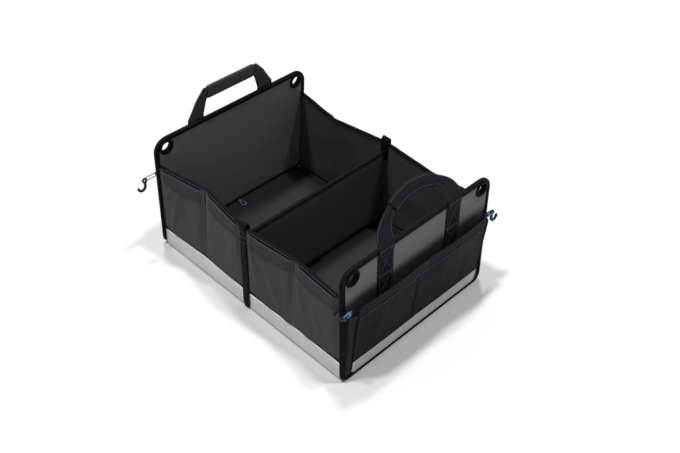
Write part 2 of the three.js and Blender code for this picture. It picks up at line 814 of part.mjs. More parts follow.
const turned = new THREE.Group();
turned.rotation.z = Math.PI;
turned.add(
  endAssembly("a", straightHandle(), straightGrip(), [
    { at: "far", side: -1, reach: shortReach, clipped: false },
    { at: "near", side: 1, reach: longReach, clipped: false },
  ]),
);
organizer.add(turned);

organizer.add(sideAssembly("near", -1));
organizer.add(sideAssembly("far", 1));

const inside = new THREE.Group();
const bottomPlate = block(2 * wallEndAt(bottomSheet), 2 * wallOuter, 0, bottomSheet);
piece("bottom_panel", bottomPlate, "fabric", inside);
piece("divider_board", dividerBoardBlock(), "board", inside);
piece("divider_cover", dividerCover(), "lining", inside);
piece("floor_tab", floorTab(), "tape", inside);
organizer.add(inside);

for (const [letter, angle] of [
  ["a", Math.PI],
  ["b", 0],
]) {
  const floor = new THREE.Group();
  floor.rotation.z = angle;
  piece(`floor_board_${letter}`, floorBoardPlate(), "lining", floor);
  piece(`pull_loop_${letter}`, pullLoop(), "cord", floor);
  organizer.add(floor);
}

export default organizer;
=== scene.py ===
"""Looks of a folding fabric organizer for a car boot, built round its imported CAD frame. Metres."""

import math
import bmesh
import bpy
import numpy as np
from mathutils import Matrix, Vector, geometry


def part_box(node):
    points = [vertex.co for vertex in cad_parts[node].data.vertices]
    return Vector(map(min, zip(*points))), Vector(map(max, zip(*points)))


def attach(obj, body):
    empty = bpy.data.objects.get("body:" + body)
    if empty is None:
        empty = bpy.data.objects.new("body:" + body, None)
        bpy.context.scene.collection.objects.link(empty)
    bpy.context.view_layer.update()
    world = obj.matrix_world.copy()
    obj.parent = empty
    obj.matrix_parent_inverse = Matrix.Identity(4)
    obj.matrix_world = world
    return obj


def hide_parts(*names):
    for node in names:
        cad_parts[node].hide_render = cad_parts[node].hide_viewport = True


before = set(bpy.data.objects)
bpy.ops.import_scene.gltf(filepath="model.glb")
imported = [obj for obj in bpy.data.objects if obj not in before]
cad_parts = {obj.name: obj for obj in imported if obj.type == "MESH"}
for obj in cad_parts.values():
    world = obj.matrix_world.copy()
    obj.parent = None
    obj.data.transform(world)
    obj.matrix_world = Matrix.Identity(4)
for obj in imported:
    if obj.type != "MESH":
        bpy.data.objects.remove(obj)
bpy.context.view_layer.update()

# Camera: the photograph's view, for an image of 680 by 453
IMAGE_WIDTH = 680
FOCAL_PIXELS = 946.26
CAMERA_AZIMUTH = math.radians(43.881)
CAMERA_ELEVATION = math.radians(41.338)
CAMERA_ROLL = math.radians(1.59)
CAMERA_DISTANCE = 1.82803
CAMERA_TARGET = Vector((0.07503, -0.0164, 0.15))

# Sizes shared with the CAD model
END_LEAN = math.radians(2)
PANEL_HEIGHT = 0.267
PANEL_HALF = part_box("end_b_binding")[1].y
END_THICKNESS = 0.0052
SEAT = 0.0003
TAPE_REACH = 0.0015
END_TAPE = 0.0095
TOP_CORNER = 0.030
FOOT_CORNER = 0.018
END_X = 0.266 - END_THICKNESS * math.cos(END_LEAN)
END_Z = TAPE_REACH * math.sin(END_LEAN)
PANEL_FACE = END_THICKNESS + SEAT
BINDING_FACE = END_THICKNESS + TAPE_REACH + SEAT
EYELET_Y = PANEL_HALF - 0.027
EYELET_Z = PANEL_HEIGHT - 0.022
WALL_HEIGHT = 0.208
WALL_OUTER = 0.194
WALL_THICKNESS = 0.0042
WALL_FOOT = 0.0031
WALL_TOP = WALL_HEIGHT - TAPE_REACH
CREASE_X = 0.131
FOLD_IN = {-1: 0.020, 1: 0.010}
BAND_TOP = 0.043
SIDE_POCKET_TOP = 0.2015
SIDE_POCKET_DEPTH = 0.008
STRAP_WIDTH = 0.018
END_POCKET_TOP = 0.190
END_POCKET_HALF = 0.177
END_POCKET_FOOT = 0.011
GUSSET_HALF = 0.189
MOUTH_CORNER = 0.014
FLOOR_Z = 0.0031
FLOOR_BOARD = 0.005

# Ends by the sign of x, long sides by the sign of y
LETTERS = {-1: "a", 1: "b"}
SIDES = {-1: "near", 1: "far"}


def make_camera():
    a, e, roll = CAMERA_AZIMUTH, CAMERA_ELEVATION, CAMERA_ROLL
    ahead = Vector((-math.sin(a) * math.cos(e), math.cos(a) * math.cos(e), -math.sin(e)))
    level = Vector((math.cos(a), math.sin(a), 0))
    right = level * math.cos(roll) + level.cross(ahead) * math.sin(roll)
    data = bpy.data.cameras.new("camera")
    data.sensor_fit = "HORIZONTAL"
    data.angle = 2 * math.atan(IMAGE_WIDTH / 2 / FOCAL_PIXELS)
    camera = bpy.data.objects.new("camera", data)
    bpy.context.scene.collection.objects.link(camera)
    eye = CAMERA_TARGET - ahead * CAMERA_DISTANCE
    rows = [[*axes, place] for *axes, place in zip(right, right.cross(ahead), -ahead, eye)]
    camera.matrix_world = Matrix([*rows, [0, 0, 0, 1]])
    bpy.context.scene.camera = camera


make_camera()


# Points on the organizer, from numbers or arrays that broadcast together
def xyz(x, y, z):
    return np.stack(np.broadcast_arrays(x, y, z), axis=-1)


def on_end(sign, out, y, z):
    """Points of an end panel: out from the lining's face, y across, z up along the panel."""
    x = sign * (END_X + out * math.cos(END_LEAN) - z * math.sin(END_LEAN))
    return xyz(x, y, END_Z + out * math.sin(END_LEAN) + z * math.cos(END_LEAN))


def end_normal(sign):
    return np.array([sign * math.cos(END_LEAN), 0, math.sin(END_LEAN)])


def wall_end(z):
    return END_X - (z - END_Z) * math.tan(END_LEAN) - (TAPE_REACH + SEAT) / math.cos(END_LEAN)


def wall_x(t, z):
    part = np.abs(t)
    return np.sign(t) * (np.minimum(part, 1) * CREASE_X + np.maximum(part - 1, 0) * (wall_end(z) - CREASE_X))


def on_wall(side, t, z, offset):
    """Points of a side wall: t runs from -2 to 2 along it, with the fold creases at -1 and 1."""
    deepest = np.where(t < 0, FOLD_IN[-1], FOLD_IN[1])
    drawn_in = deepest * (1 - np.abs(np.abs(t) - 1)) * z / WALL_HEIGHT
    return xyz(wall_x(t, z), side * (WALL_OUTER + offset - drawn_in), z)


def ease(x, low, high):
    part = np.clip((x - low) / (high - low), 0, 1)
    return part * part * (3 - 2 * part)


def squared_off(values, power):
    """A sine or cosine bent so that its circle turns into a rounded square."""
    return np.sign(values) * np.abs(values) ** power


def creases(u, v, lines):
    """Sum of soft ridges, each as (middle u, middle v, angle in degrees, half length, half width, height)."""
    total = np.zeros(np.broadcast(u, v).shape)
    for cu, cv, angle, half_length, half_width, height in lines:
        c, s = math.cos(math.radians(angle)), math.sin(math.radians(angle))
        along = ((u - cu) * c + (v - cv) * s) / half_length
        across = ((v - cv) * c - (u - cu) * s) / half_width
        total += height * np.exp(-(along**2) - across**2)
    return total


def waves(u, v, seed, size, height):
    """A gentle uneven surface, as a few plane waves in random directions."""
    rng = np.random.default_rng(seed)
    total = np.zeros(np.broadcast(u, v).shape)
    for _ in range(7):
        angle, phase, stretch = rng.uniform(0, math.pi), rng.uniform(0, 6.3), rng.uniform(0.6, 1.6)
        k = 2 * math.pi / (size * stretch)
        total += np.sin(k * (u * math.cos(angle) + v * math.sin(angle)) + phase)
    return height * total / 7**0.5


def lengths(points):
    """Distance along a path at each of its points."""
    return np.concatenate([[0], np.cumsum(np.linalg.norm(np.diff(points, axis=0), axis=1))])


def directions(path):
    ahead = np.gradient(path, axis=0)
    return ahead / np.linalg.norm(ahead, axis=1)[:, None]


def smooth_path(points):
    """Forty evenly spaced points on a smooth curve through the given ones."""
    points = np.asarray(points, dtype=float)
    padded = np.concatenate([[2 * points[0] - points[1]], points, [2 * points[-1] - points[-2]]])
    fine = []
    for p0, p1, p2, p3 in zip(padded, padded[1:], padded[2:], padded[3:]):
        slope, bend, twist = p2 - p0, 2 * p0 - 5 * p1 + 4 * p2 - p3, 3 * p1 - p0 - 3 * p2 + p3
        for s in np.linspace(0, 1, 24, endpoint=False):
            fine.append(0.5 * (2 * p1 + slope * s + bend * s**2 + twist * s**3))
    fine = np.array([*fine, points[-1]])
    along = lengths(fine)
    wanted = np.linspace(0, along[-1], 40)
    return np.stack([np.interp(wanted, along, fine[:, k]) for k in range(3)], axis=-1)


def turns(count):
    """Angles evenly round a circle."""
    return np.linspace(0, 2 * math.pi, count, endpoint=False)


def arc(x, y, reach_x, reach_y, start, end, count):
    """Points of an ellipse about (x, y), from one angle to another."""
    return [(x + reach_x * math.cos(a), y + reach_y * math.sin(a)) for a in np.linspace(start, end, count)]


def mirrored(section):
    return [(-x, z) for x, z in section[::-1]]


def rounded(low, high, top_radius, foot_radius, count, inset=0.0):
    """Points round a rectangle's corners, from its upper right one, and the outward direction at each."""
    points, out = [], []
    for quarter, (x, y) in enumerate(((1, 1), (-1, 1), (-1, -1), (1, -1))):
        radius = top_radius if y > 0 else foot_radius
        centre = [b - radius if way > 0 else a + radius for way, a, b in zip((x, y), low, high)]
        for angle in np.radians(np.linspace(90 * quarter, 90 * quarter + 90, count)):
            out.append(np.array([math.cos(angle), math.sin(angle)]))
            points.append(np.array(centre) + (radius - inset) * out[-1])
    return np.array(points), np.array(out)


def subdivided(ring, step):
    """A closed ring with more points on its long stretches, and the index of the given point before each."""
    fine, before = [], []
    for i, (p, q) in enumerate(zip(ring, np.roll(ring, -1, axis=0))):
        count = max(1, round(np.linalg.norm(q - p) / step))
        fine += [p + (q - p) * s for s in np.arange(count) / count]
        before += [i] * count
    return np.array(fine), before


# Meshes
def add_mesh(name, points, faces, uvs=None):
    data = bpy.data.meshes.new(name)
    data.from_pydata([tuple(p) for p in points], [], faces)
    bm = bmesh.new()
    bm.from_mesh(data)
    bmesh.ops.recalc_face_normals(bm, faces=bm.faces)
    bm.to_mesh(data)
    bm.free()
    if uvs is not None:
        layer = data.uv_layers.new(name="metres")
        loops = np.empty(len(data.loops), dtype=np.int64)
        data.loops.foreach_get("vertex_index", loops)
        layer.data.foreach_set("uv", np.asarray(uvs, dtype=np.float32)[loops].ravel())
    data.shade_smooth()
    obj = bpy.data.objects.new(name, data)
    bpy.context.scene.collection.objects.link(obj)
    return obj


def grid_faces(nu, nv, start=0, wrap_u=False, wrap_v=False):
    faces = []
    for i in range(nu if wrap_u else nu - 1):
        for j in range(nv if wrap_v else nv - 1):
            a, b = i * nv + j, ((i + 1) % nu) * nv + j
            c, d = ((i + 1) % nu) * nv + (j + 1) % nv, i * nv + (j + 1) % nv
            faces.append((start + a, start + b, start + c, start + d))
    return faces


def metre_uvs(u, v):
    return np.stack(np.broadcast_arrays(u[:, None], v[None, :]), axis=-1).reshape(-1, 2)


def shell(name, front, back):
    """A closed sheet between two grids of points."""
    nu, nv = front.shape[:2]
    size = nu * nv
    faces = grid_faces(nu, nv) + [f[::-1] for f in grid_faces(nu, nv, size)]
    rim = [i * nv for i in range(nu)] + [(nu - 1) * nv + j for j in range(1, nv)]
    rim += [i * nv + nv - 1 for i in range(nu - 2, -1, -1)] + [j for j in range(nv - 2, 0, -1)]
    faces += [(b, a, a + size, b + size) for a, b in zip(rim, rim[1:] + rim[:1])]
    uvs = metre_uvs(lengths(front[:, nv // 2]), lengths(front[nu // 2]))
    points = np.concatenate([front.reshape(-1, 3), back.reshape(-1, 3)])
    return add_mesh(name, points, faces, np.concatenate([uvs, uvs]))


def sweep(name, rings, closed=False):
    """A closed solid through rings of points, (n, k, 3)."""
    rings = np.asarray(rings)
    n, k = rings.shape[:2]
    faces = grid_faces(n, k, wrap_u=closed, wrap_v=True)
    if not closed:
        faces += [tuple(range(k)), tuple(range((n - 1) * k, n * k))]
    return add_mesh(name, rings.reshape(-1, 3), faces, metre_uvs(lengths(rings[:, 0]), lengths(rings[0])))


def tube_rings(path, radius, sides=12):
    """Rings round a path, turned as little as possible from one to the next."""
    path = np.asarray(path, dtype=float)
    angle = turns(sides)[:, None]
    ahead = directions(path)
    side = np.cross(ahead[0], [0.3, 0.5, 0.81])
    rings = []
    for place, along in zip(path, ahead):
        side = side - along * side.dot(along)
        side /= np.linalg.norm(side)
        rings.append(place + radius * (np.cos(angle) * side + np.sin(angle) * np.cross(along, side)))
    return np.array(rings)


# Materials
def new_material(name):
    material = bpy.data.materials.new(name)
    material.use_nodes = True
    return material, material.node_tree, material.node_tree.nodes["Principled BSDF"]


def set_inputs(tree, made, **inputs):
    """Sets sockets by name, each to a constant or to a link from another node's output."""
    for key, value in inputs.items():
        socket = made.inputs[key.replace("_", " ")]
        if isinstance(value, bpy.types.NodeSocket):
            tree.links.new(value, socket)
        else:
            socket.default_value = value


def node(tree, kind, **inputs):
    made = tree.nodes.new(kind)
    set_inputs(tree, made, **inputs)
    return made


def math_node(tree, operation, a, b=None):
    made = tree.nodes.new("ShaderNodeMath")
    made.operation = operation
    for socket, value in zip(made.inputs, (a, b)):
        if isinstance(value, (int, float)):
            socket.default_value = value
        elif value is not None:
            tree.links.new(value, socket)
    return made.outputs[0]


def linear(tree, value, slope, start):
    return math_node(tree, "ADD", math_node(tree, "MULTIPLY", value, slope), start)


def weighted(tree, a, share_a, b, share_b):
    scaled = [math_node(tree, "MULTIPLY", value, share) for value, share in ((a, share_a), (b, share_b))]
    return math_node(tree, "ADD", *scaled)


def shades(tree, factor, colour, low, high):
    """A colour times a level between low and high."""
    made = tree.nodes.new("ShaderNodeMix")
    made.data_type = "RGBA"
    tree.links.new(factor, made.inputs[0])
    for socket, level in ((6, low), (7, high)):
        made.inputs[socket].default_value = (*(c * level for c in colour), 1)
    return made.outputs[2]


def noise(tree, coordinates, size, **inputs):
    return node(tree, "ShaderNodeTexNoise", Vector=coordinates, Scale=1 / size, **inputs).outputs[0]


def relief(tree, height, strength, depth=0.0002, **under):
    return node(tree, "ShaderNodeBump", Height=height, Strength=strength, Distance=depth, **under).outputs[0]


def dents_and_relief(tree, broad, dents, fine, strength):
    return relief(tree, fine, strength, Normal=relief(tree, broad, dents, depth=0.004))


def object_axes(tree):
    place = node(tree, "ShaderNodeTexCoord").outputs["Object"]
    return node(tree, "ShaderNodeSeparateXYZ", Vector=place).outputs


def plane_coordinates(tree, plane):
    """Metres over the surface: from the UV map, or from two of the object's own axes."""
    if plane == "uv":
        return node(tree, "ShaderNodeUVMap").outputs["UV"]
    axes = object_axes(tree)
    return node(tree, "ShaderNodeCombineXYZ", X=axes[plane[0].upper()], Y=axes[plane[1].upper()]).outputs[0]


def sine(tree, coordinates, axis, wave_length):
    split = node(tree, "ShaderNodeSeparateXYZ", Vector=coordinates)
    turn = math_node(tree, "MULTIPLY", split.outputs[axis], 2 * math.pi / wave_length)
    return math_node(tree, "SINE", turn)


MOTTLE = 0.18
CLOTH_SPECULAR = 0.03


def cloth(
    name,
    colour,
    plane="uv",
    thread=0.0006,
    roughness=0.62,
    weave=0.35,
    crinkle=0.25,
    crinkle_size=0.03,
    ribs=None,
):
    """Woven cloth: crossed threads or ribs (axis, spacing), uneven shade, and soft crinkles."""
    material, tree, shader = new_material(name)
    coordinates = plane_coordinates(tree, plane)
    crossed = [sine(tree, coordinates, axis, 2 * thread) for axis in "XY"]
    height = linear(tree, math_node(tree, "MULTIPLY", *crossed), 0.5, 0.5)
    if ribs:
        height = weighted(tree, linear(tree, sine(tree, coordinates, *ribs), 0.5, 0.5), 0.7, height, 0.3)
    large = noise(tree, coordinates, 0.06, Detail=3.0, Roughness=0.6)
    small = noise(tree, coordinates, crinkle_size, Detail=4.0, Roughness=0.55, Distortion=0.6)
    shade = weighted(tree, large, 0.6, height, 0.4)
    set_inputs(
        tree,
        shader,
        Base_Color=shades(tree, shade, colour, 1 - MOTTLE, 1 + MOTTLE),
        Roughness=linear(tree, small, 0.16, roughness - 0.08),
        Normal=dents_and_relief(tree, small, crinkle, height, weave),
        Specular_IOR_Level=CLOTH_SPECULAR,
    )
    return material


def plain(name, colour, roughness, grain=0.0006, bump=0.15, specular=0.5):
    """Moulded plastic, lacquered metal or thread: fine grain and slightly uneven gloss."""
    material, tree, shader = new_material(name)
    coordinates = node(tree, "ShaderNodeTexCoord").outputs["Object"]
    grainy = noise(tree, coordinates, grain, Detail=2.0)
    patches = noise(tree, coordinates, 0.012, Detail=4.0)
    set_inputs(
        tree,
        shader,
        Base_Color=shades(tree, patches, colour, 0.8, 1.25),
        Roughness=linear(tree, patches, 0.2, roughness - 0.1),
        Normal=relief(tree, grainy, bump),
        Specular_IOR_Level=specular,
    )
    return material


def reflective(name, colour):
    """Silver coated band with a fine net of cells and shallow dents."""
    material, tree, shader = new_material(name)
    coordinates = plane_coordinates(tree, "uv")
    cells = node(tree, "ShaderNodeTexVoronoi", Vector=coordinates, Scale=1 / 0.0016).outputs["Distance"]
    broad = noise(tree, coordinates, 0.05, Detail=3.0)
    set_inputs(
        tree,
        shader,
        Base_Color=shades(tree, weighted(tree, cells, 0.35, broad, 1.0), colour, 0.86, 1.12),
        Roughness=linear(tree, broad, 0.15, 0.42),
        Normal=dents_and_relief(tree, broad, 0.12, cells, 0.2),
        Metallic=0.15,
    )
    return material


def painted_shade_below(material, top, depth, share):
    """Painted shade: keeps only a share of a cloth's colour below a height, with a soft change over the depth
    under it.
    """
    tree = material.node_tree
    colour = tree.nodes["Principled BSDF"].inputs["Base Color"]
    rise = linear(tree, object_axes(tree)["Z"], 1 / depth, 1 - top / depth)
    rise = math_node(tree, "MINIMUM", math_node(tree, "MAXIMUM", rise, 0.0), 1.0)
    scaled = tree.nodes.new("ShaderNodeVectorMath")
    scaled.operation = "SCALE"
    tree.links.new(colour.links[0].from_socket, scaled.inputs[0])
    set_inputs(tree, scaled, Scale=linear(tree, rise, 1 - share, share))
    tree.links.new(scaled.outputs[0], colour)
    return material


HEM_WEAVE = {"roughness": 0.6, "crinkle": 0.4, "crinkle_size": 0.012}
TAPE_WEAVE = {"thread": 0.0005, "ribs": ("X", 0.0016)}
WEBBING_WEAVE = {"roughness": 0.6, "thread": 0.0009, "ribs": ("Y", 0.0022), "weave": 0.6}
GRIP_WEAVE = {"roughness": 0.62, "weave": 0.5, "crinkle": 0.5, "crinkle_size": 0.015}
YARN = {"roughness": 0.7, "grain": 0.0004, "bump": 0.3, "specular": 0.1}
SHEET = cloth("grey_sheet", (0.26, 0.26, 0.264), plane="yz", roughness=0.5, weave=0.3, crinkle=0.12)

MAT = {
    # Painted shade: the end panels' outer sheet darkens under and beside the end pocket's mouth, where shade
    # falls behind the pocket
    "sheet": painted_shade_below(SHEET, top=0.203, depth=0.018, share=0.22),
    "lining_end": cloth("lining_end", (0.20, 0.20, 0.202), plane="yz", roughness=0.5, crinkle=0.12),
    "lining": cloth("lining", (0.085, 0.085, 0.086), roughness=0.5, crinkle=0.2),
    "wall": cloth("wall_cloth", (0.036, 0.036, 0.038), roughness=0.55, crinkle=0.3),
    "end_hem": cloth("end_hem_cloth", (0.010, 0.012, 0.016), **HEM_WEAVE),
    "hem": cloth("hem_cloth", (0.058, 0.061, 0.069), **HEM_WEAVE),
    # Pocket cloth in two copies: this darker one on the end pockets and the far wall, and a painted lighter
    # one on the near wall, for the light on the near side
    "pocket": cloth("pocket_cloth", (0.010, 0.010, 0.0107), roughness=0.5, crinkle=0.2),
    "side_pocket": cloth("painted_lit_pocket_cloth", (0.084, 0.084, 0.086), roughness=0.5, crinkle=0.3),
    "tape": cloth(
        "binding_tape", (0.007, 0.007, 0.008), roughness=0.55, crinkle=0.3, crinkle_size=0.01, **TAPE_WEAVE
    ),
    # Painted highlight: a pale copy of the tape cloth for the light caught along the foot of the wall tape's
    # outer side
    "painted_highlight_tape": cloth("wall_tape", (0.055, 0.056, 0.058), roughness=0.6, **TAPE_WEAVE),
    "webbing": cloth("webbing", (0.014, 0.0155, 0.020), **WEBBING_WEAVE),
    "handle_a": cloth("handle_webbing", (0.060, 0.062, 0.067), **WEBBING_WEAVE),
    "strap": cloth("strap_webbing", (0.008, 0.008, 0.009), **WEBBING_WEAVE),
    "grip": cloth("grip_cloth", (0.013, 0.0145, 0.018), **GRIP_WEAVE),
    "grip_a": cloth("upright_grip_cloth", (0.078, 0.083, 0.093), **GRIP_WEAVE),
    "gusset": cloth(
        "gusset_cloth", (0.048, 0.048, 0.051), roughness=0.55, weave=0.8, ribs=("Y", 0.004), crinkle=0.4
    ),
    "board": cloth("board_cover", (0.029, 0.029, 0.0295), plane="xy", roughness=0.55, crinkle=0.15),
    "divider": cloth("divider_cloth", (0.075, 0.075, 0.076), plane="yz", roughness=0.5, crinkle=0.15),
    "under": cloth("bottom_cloth", (0.02, 0.02, 0.02), plane="xy", roughness=0.7),
    # One reflective band in two copies: the end bands' darker one and the side walls' painted lighter one,
    # for the stronger light on the long sides
    "band": reflective("reflective_band", (0.62, 0.62, 0.63)),
    "painted_lighter_band": reflective("side_reflective_band_painted_lighter", (0.80, 0.80, 0.81)),
    "eyelet": plain("eyelet_lacquer", (0.003, 0.003, 0.0035), 0.5, specular=0.03),
    "hook": plain("hook_plastic", (0.012, 0.012, 0.014), 0.4, specular=0.2),
    "cord": plain("blue_cord", (0.12, 0.22, 0.44), 0.7, grain=0.0008, bump=0.5, specular=0.1),
    "blue": plain("blue_thread", (0.130, 0.165, 0.225), **YARN),
    "pale": plain("pale_thread", (0.33, 0.35, 0.38), **YARN),
    "dark": plain("dark_thread", (0.016, 0.016, 0.018), **YARN),
    "core": plain("stiffener_board", (0.30, 0.27, 0.22), 0.8, grain=0.002),
}


# Pieces
def finish_piece(obj, material, replaces=None, body="body"):
    obj.data.materials.append(MAT[material])
    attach(obj, body)
    if replaces:
        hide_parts(replaces)
    return obj


def sheet(name, front, back, material, replaces):
    """A piece of cloth between two grids of points."""
    obj = finish_piece(shell(name, front, back), material, replaces)


STITCH_LIFT = 0.0003
TAPE_SEAM = {"pitch": 0.005, "length": 0.0034}
stitches = {}


def sew(colour, path, facing, pitch=0.0042, length=0.0028, width=0.0006, body="body"):
    """Adds a row of stitches along a path of points; facing is the surface's outward direction."""
    path = np.asarray(path, dtype=float)
    facing = np.broadcast_to(np.asarray(facing, dtype=float), path.shape)
    along = lengths(path)
    for middle in np.arange(pitch / 2, along[-1], pitch):
        a, b, out = (
            np.array([np.interp(middle + ahead * length / 2, along, values[:, k]) for k in range(3)])
            for ahead, values in ((-1, path), (1, path), (0, facing))
        )
        stitches.setdefault((colour, body), []).append((a, b, out / np.linalg.norm(out), width))


def make_stitches():
    for colour in ("blue", "pale", "dark"):
        for body in sorted(owner for shade, owner in stitches if shade == colour):
            points, faces = [], []
            for a, b, out, width in stitches[colour, body]:
                side = np.cross((b - a) / np.linalg.norm(b - a), out) * width / 2
                middle, base = (a + b) / 2, len(points)
                ring = [side, out * (STITCH_LIFT + width / 2), -side, -out * width / 4]
                places = ((a, 0.45), (middle * 2 / 3 + a / 3, 1), (middle * 2 / 3 + b / 3, 1), (b, 0.45))
                points += [place + r * grow for place, grow in places for r in ring]
                faces += grid_faces(4, 4, base, wrap_v=True)
                faces += [(base + 3, base + 2, base + 1, base), (base + 12, base + 13, base + 14, base + 15)]
            finish_piece(add_mesh(f"stitches_{colour}_{body}", points, faces), colour, body=body)


# End panels
def panel_rim():
    """Points round a panel's outline and the inward direction at each, in (y, z)."""
    corners, out = rounded((-PANEL_HALF, 0), (PANEL_HALF, PANEL_HEIGHT), TOP_CORNER, FOOT_CORNER, 10)
    points, before = subdivided(corners, 0.006)
    return points, -out[before]


def end_binding(sign):
    end = f"end_{LETTERS[sign]}"
    points, inward = panel_rim()
    inner, outer = -TAPE_REACH, END_THICKNESS + TAPE_REACH
    middle, half, bend = (inner + outer) / 2, (outer - inner) / 2, 0.0028
    section = [(END_TAPE, outer - 0.0004), (0.006, outer), (0.003, outer)]
    for angle in np.radians(np.linspace(80, -80, 9)):
        section.append((bend * (1 - math.cos(angle)), middle + half * squared_off(math.sin(angle), 0.6)))
    section += [(0.003, inner), (0.006, inner), (END_TAPE, inner + 0.0004)]
    section += [(END_TAPE, -SEAT), (0.0031, -SEAT), (0.0031, PANEL_FACE), (END_TAPE, PANEL_FACE)]
    depth, out = np.array(section).T[:, None]
    place = np.arange(len(section)) * 0.002
    uneven = waves(lengths(points)[:, None], place, 5 + sign, 0.05, 0.00012)
    depth = depth + uneven * (depth > 0.005)
    y, z = (points[:, k, None] + inward[:, k, None] * depth for k in (0, 1))
    obj = sweep(f"{end}_binding_tape", on_end(sign, out, y, z), closed=True)
    finish_piece(obj, "tape", f"{end}_binding")
    line = points + inward * 0.0075
    line = np.concatenate([line, line[:1]])
    for out, way in ((outer + 0.0001, 1), (inner - 0.0001, -1)):
        sew("dark", on_end(sign, out, line[:, 0], line[:, 1]), way * end_normal(sign), **TAPE_SEAM)


def eyelet_ring(sign, side):
    bore, tube, flange = 0.0105, 0.0115, 0.017
    outer, inner = BINDING_FACE, -TAPE_REACH - SEAT
    profile = [
        (flange, outer + 0.0001),
        (flange - 0.0008, outer + 0.0009),
        (flange - 0.0025, outer + 0.0014),
        (bore + 0.0022, outer + 0.0015),
        (bore + 0.0007, outer + 0.0010),
        (bore, outer - 0.0004),
        (bore, inner + 0.0004),
        (bore + 0.0007, inner - 0.0010),
        (bore + 0.0022, inner - 0.0012),
        (flange - 0.0025, inner - 0.0011),
        (flange, inner - 0.0001),
        (tube, inner),
        (tube, outer),
    ]
    angle = turns(48)[:, None]
    r, out = np.array(profile).T[:, None]
    rings = on_end(sign, out, side * EYELET_Y + r * np.cos(angle), EYELET_Z + r * np.sin(angle))
    name = f"end_{LETTERS[sign]}_eyelet_{SIDES[side]}"
    finish_piece(sweep(f"{name}_ring", rings, closed=True), "eyelet", name)


def circle(centre, radius):
    return [(centre[0] + radius * math.cos(a), centre[1] + radius * math.sin(a)) for a in turns(32)]


def within(points, ring):
    """Whether each point lies inside a closed ring of points."""
    inside = np.zeros(len(points), dtype=bool)
    for (ax, ay), (bx, by) in zip(ring, np.roll(ring, -1, axis=0)):
        crosses = (ay > points[:, 1]) != (by > points[:, 1])
        if ay != by:
            inside ^= crosses & (points[:, 0] < ax + (points[:, 1] - ay) * (bx - ax) / (by - ay))
    return inside


def plate(name, outline, holes, place, step):
    """A closed sheet over an outline with round holes (centre, radius); place(u, v) gives its two faces."""
    points, edges = [], []
    for ring in [outline] + [circle(*hole) for hole in holes]:
        start = len(points)
        points += [Vector(p) for p in ring]
        edges += [(start + i, start + (i + 1) % len(ring)) for i in range(len(ring))]
    low, high = outline.min(0), outline.max(0)
    u, v = np.meshgrid(*(np.arange(a + step / 2, b, step) for a, b in zip(low, high)))
    grid = np.stack([u, v], axis=-1).reshape(-1, 2)
    middle = (low + high) / 2
    inner = within(grid, middle + (outline - middle) * (1 - step / (high - low)))
    for centre, radius in holes:
        inner &= np.linalg.norm(grid - centre, axis=1) > radius + step / 2
    points += [Vector(p) for p in grid[inner]]
    flat, _, triangles, *_ = geometry.delaunay_2d_cdt(points, edges, [], 1, 1e-7)
    flat = np.array([tuple(p) for p in flat])
    triangles = [list(t) for t in triangles]
    centres = np.array([flat[t].mean(0) for t in triangles])
    keep = np.ones(len(triangles), dtype=bool)
    for centre, radius in holes:
        keep &= np.linalg.norm(centres - centre, axis=1) > radius * 0.98
    triangles = [t for t, kept in zip(triangles, keep) if kept]
    size = len(flat)
    sides = [pair for t in triangles for pair in zip(t, t[1:] + t[:1])]
    inside = set(sides)
    walls = [(b, a, a + size, b + size) for a, b in sides if (b, a) not in inside]
    faces = triangles + [tuple(i + size for i in t[::-1]) for t in triangles] + walls
    return add_mesh(name, np.concatenate(place(flat[:, 0], flat[:, 1])), faces, np.concatenate([flat, flat]))


SHEET_MARGIN = 0.0015
EYELET_HOLE = 0.0117


def end_sheet(sign, name, low, high, material, seed):
    def place(y, z):
        calm = ease(np.minimum.reduce([PANEL_HALF - np.abs(y), z, PANEL_HEIGHT - z]), 0.01, 0.04)
        for side in SIDES:
            calm = calm * ease(np.hypot(y - side * EYELET_Y, z - EYELET_Z), 0.018, 0.04)
        soft = waves(y, z, seed + sign, 0.12, 0.00022) * calm
        return on_end(sign, high + soft, y, z), on_end(sign, low + soft * 0.5, y, z)

    half, foot, top = PANEL_HALF - SHEET_MARGIN, SHEET_MARGIN, PANEL_HEIGHT - SHEET_MARGIN
    corners = TOP_CORNER - SHEET_MARGIN, FOOT_CORNER - SHEET_MARGIN
    outline, _ = rounded((-half, foot), (half, top), *corners, 9)
    holes = [((side * EYELET_Y, EYELET_Z), EYELET_HOLE) for side in SIDES]
    end = f"end_{LETTERS[sign]}"
    obj = plate(f"{end}_{name}_cloth", outline, holes, place, 0.008)
    finish_piece(obj, material, f"{end}_{name}")


# Pockets of the end panels
END_POCKET_FOLDS = [
    (-0.120, 0.100, 74, 0.050, 0.010, 0.0012),
    (-0.060, 0.120, 100, 0.045, 0.012, -0.0010),
    (-0.020, 0.095, 90, 0.065, 0.004, -0.0030),
    (0.050, 0.110, 78, 0.050, 0.014, 0.0010),
    (0.115, 0.090, 96, 0.050, 0.012, -0.0010),
    (0.150, 0.130, 120, 0.030, 0.008, 0.0010),
]
POCKET_CLOTH = 0.001
END_HEM = 0.030
END_HEM_TURNED = 0.012
END_HEM_ROWS = (0.0035, 0.0130, 0.0255, 0.0280)
PLEAT = 0.0035
PLEATS = 1.25
GUSSET_RIBS = 42


def corner_drop(y, radius):
    over = np.clip(np.abs(y) - (END_POCKET_HALF - radius), 0, radius)
    return radius - np.sqrt(radius**2 - over**2)


def mouth_height(y):
    return END_POCKET_TOP - corner_drop(y, MOUTH_CORNER) - 0.002 * np.exp(-((y / 0.008) ** 2))


def foot_height(y):
    return END_POCKET_FOOT + corner_drop(y, FOOT_CORNER - END_TAPE)


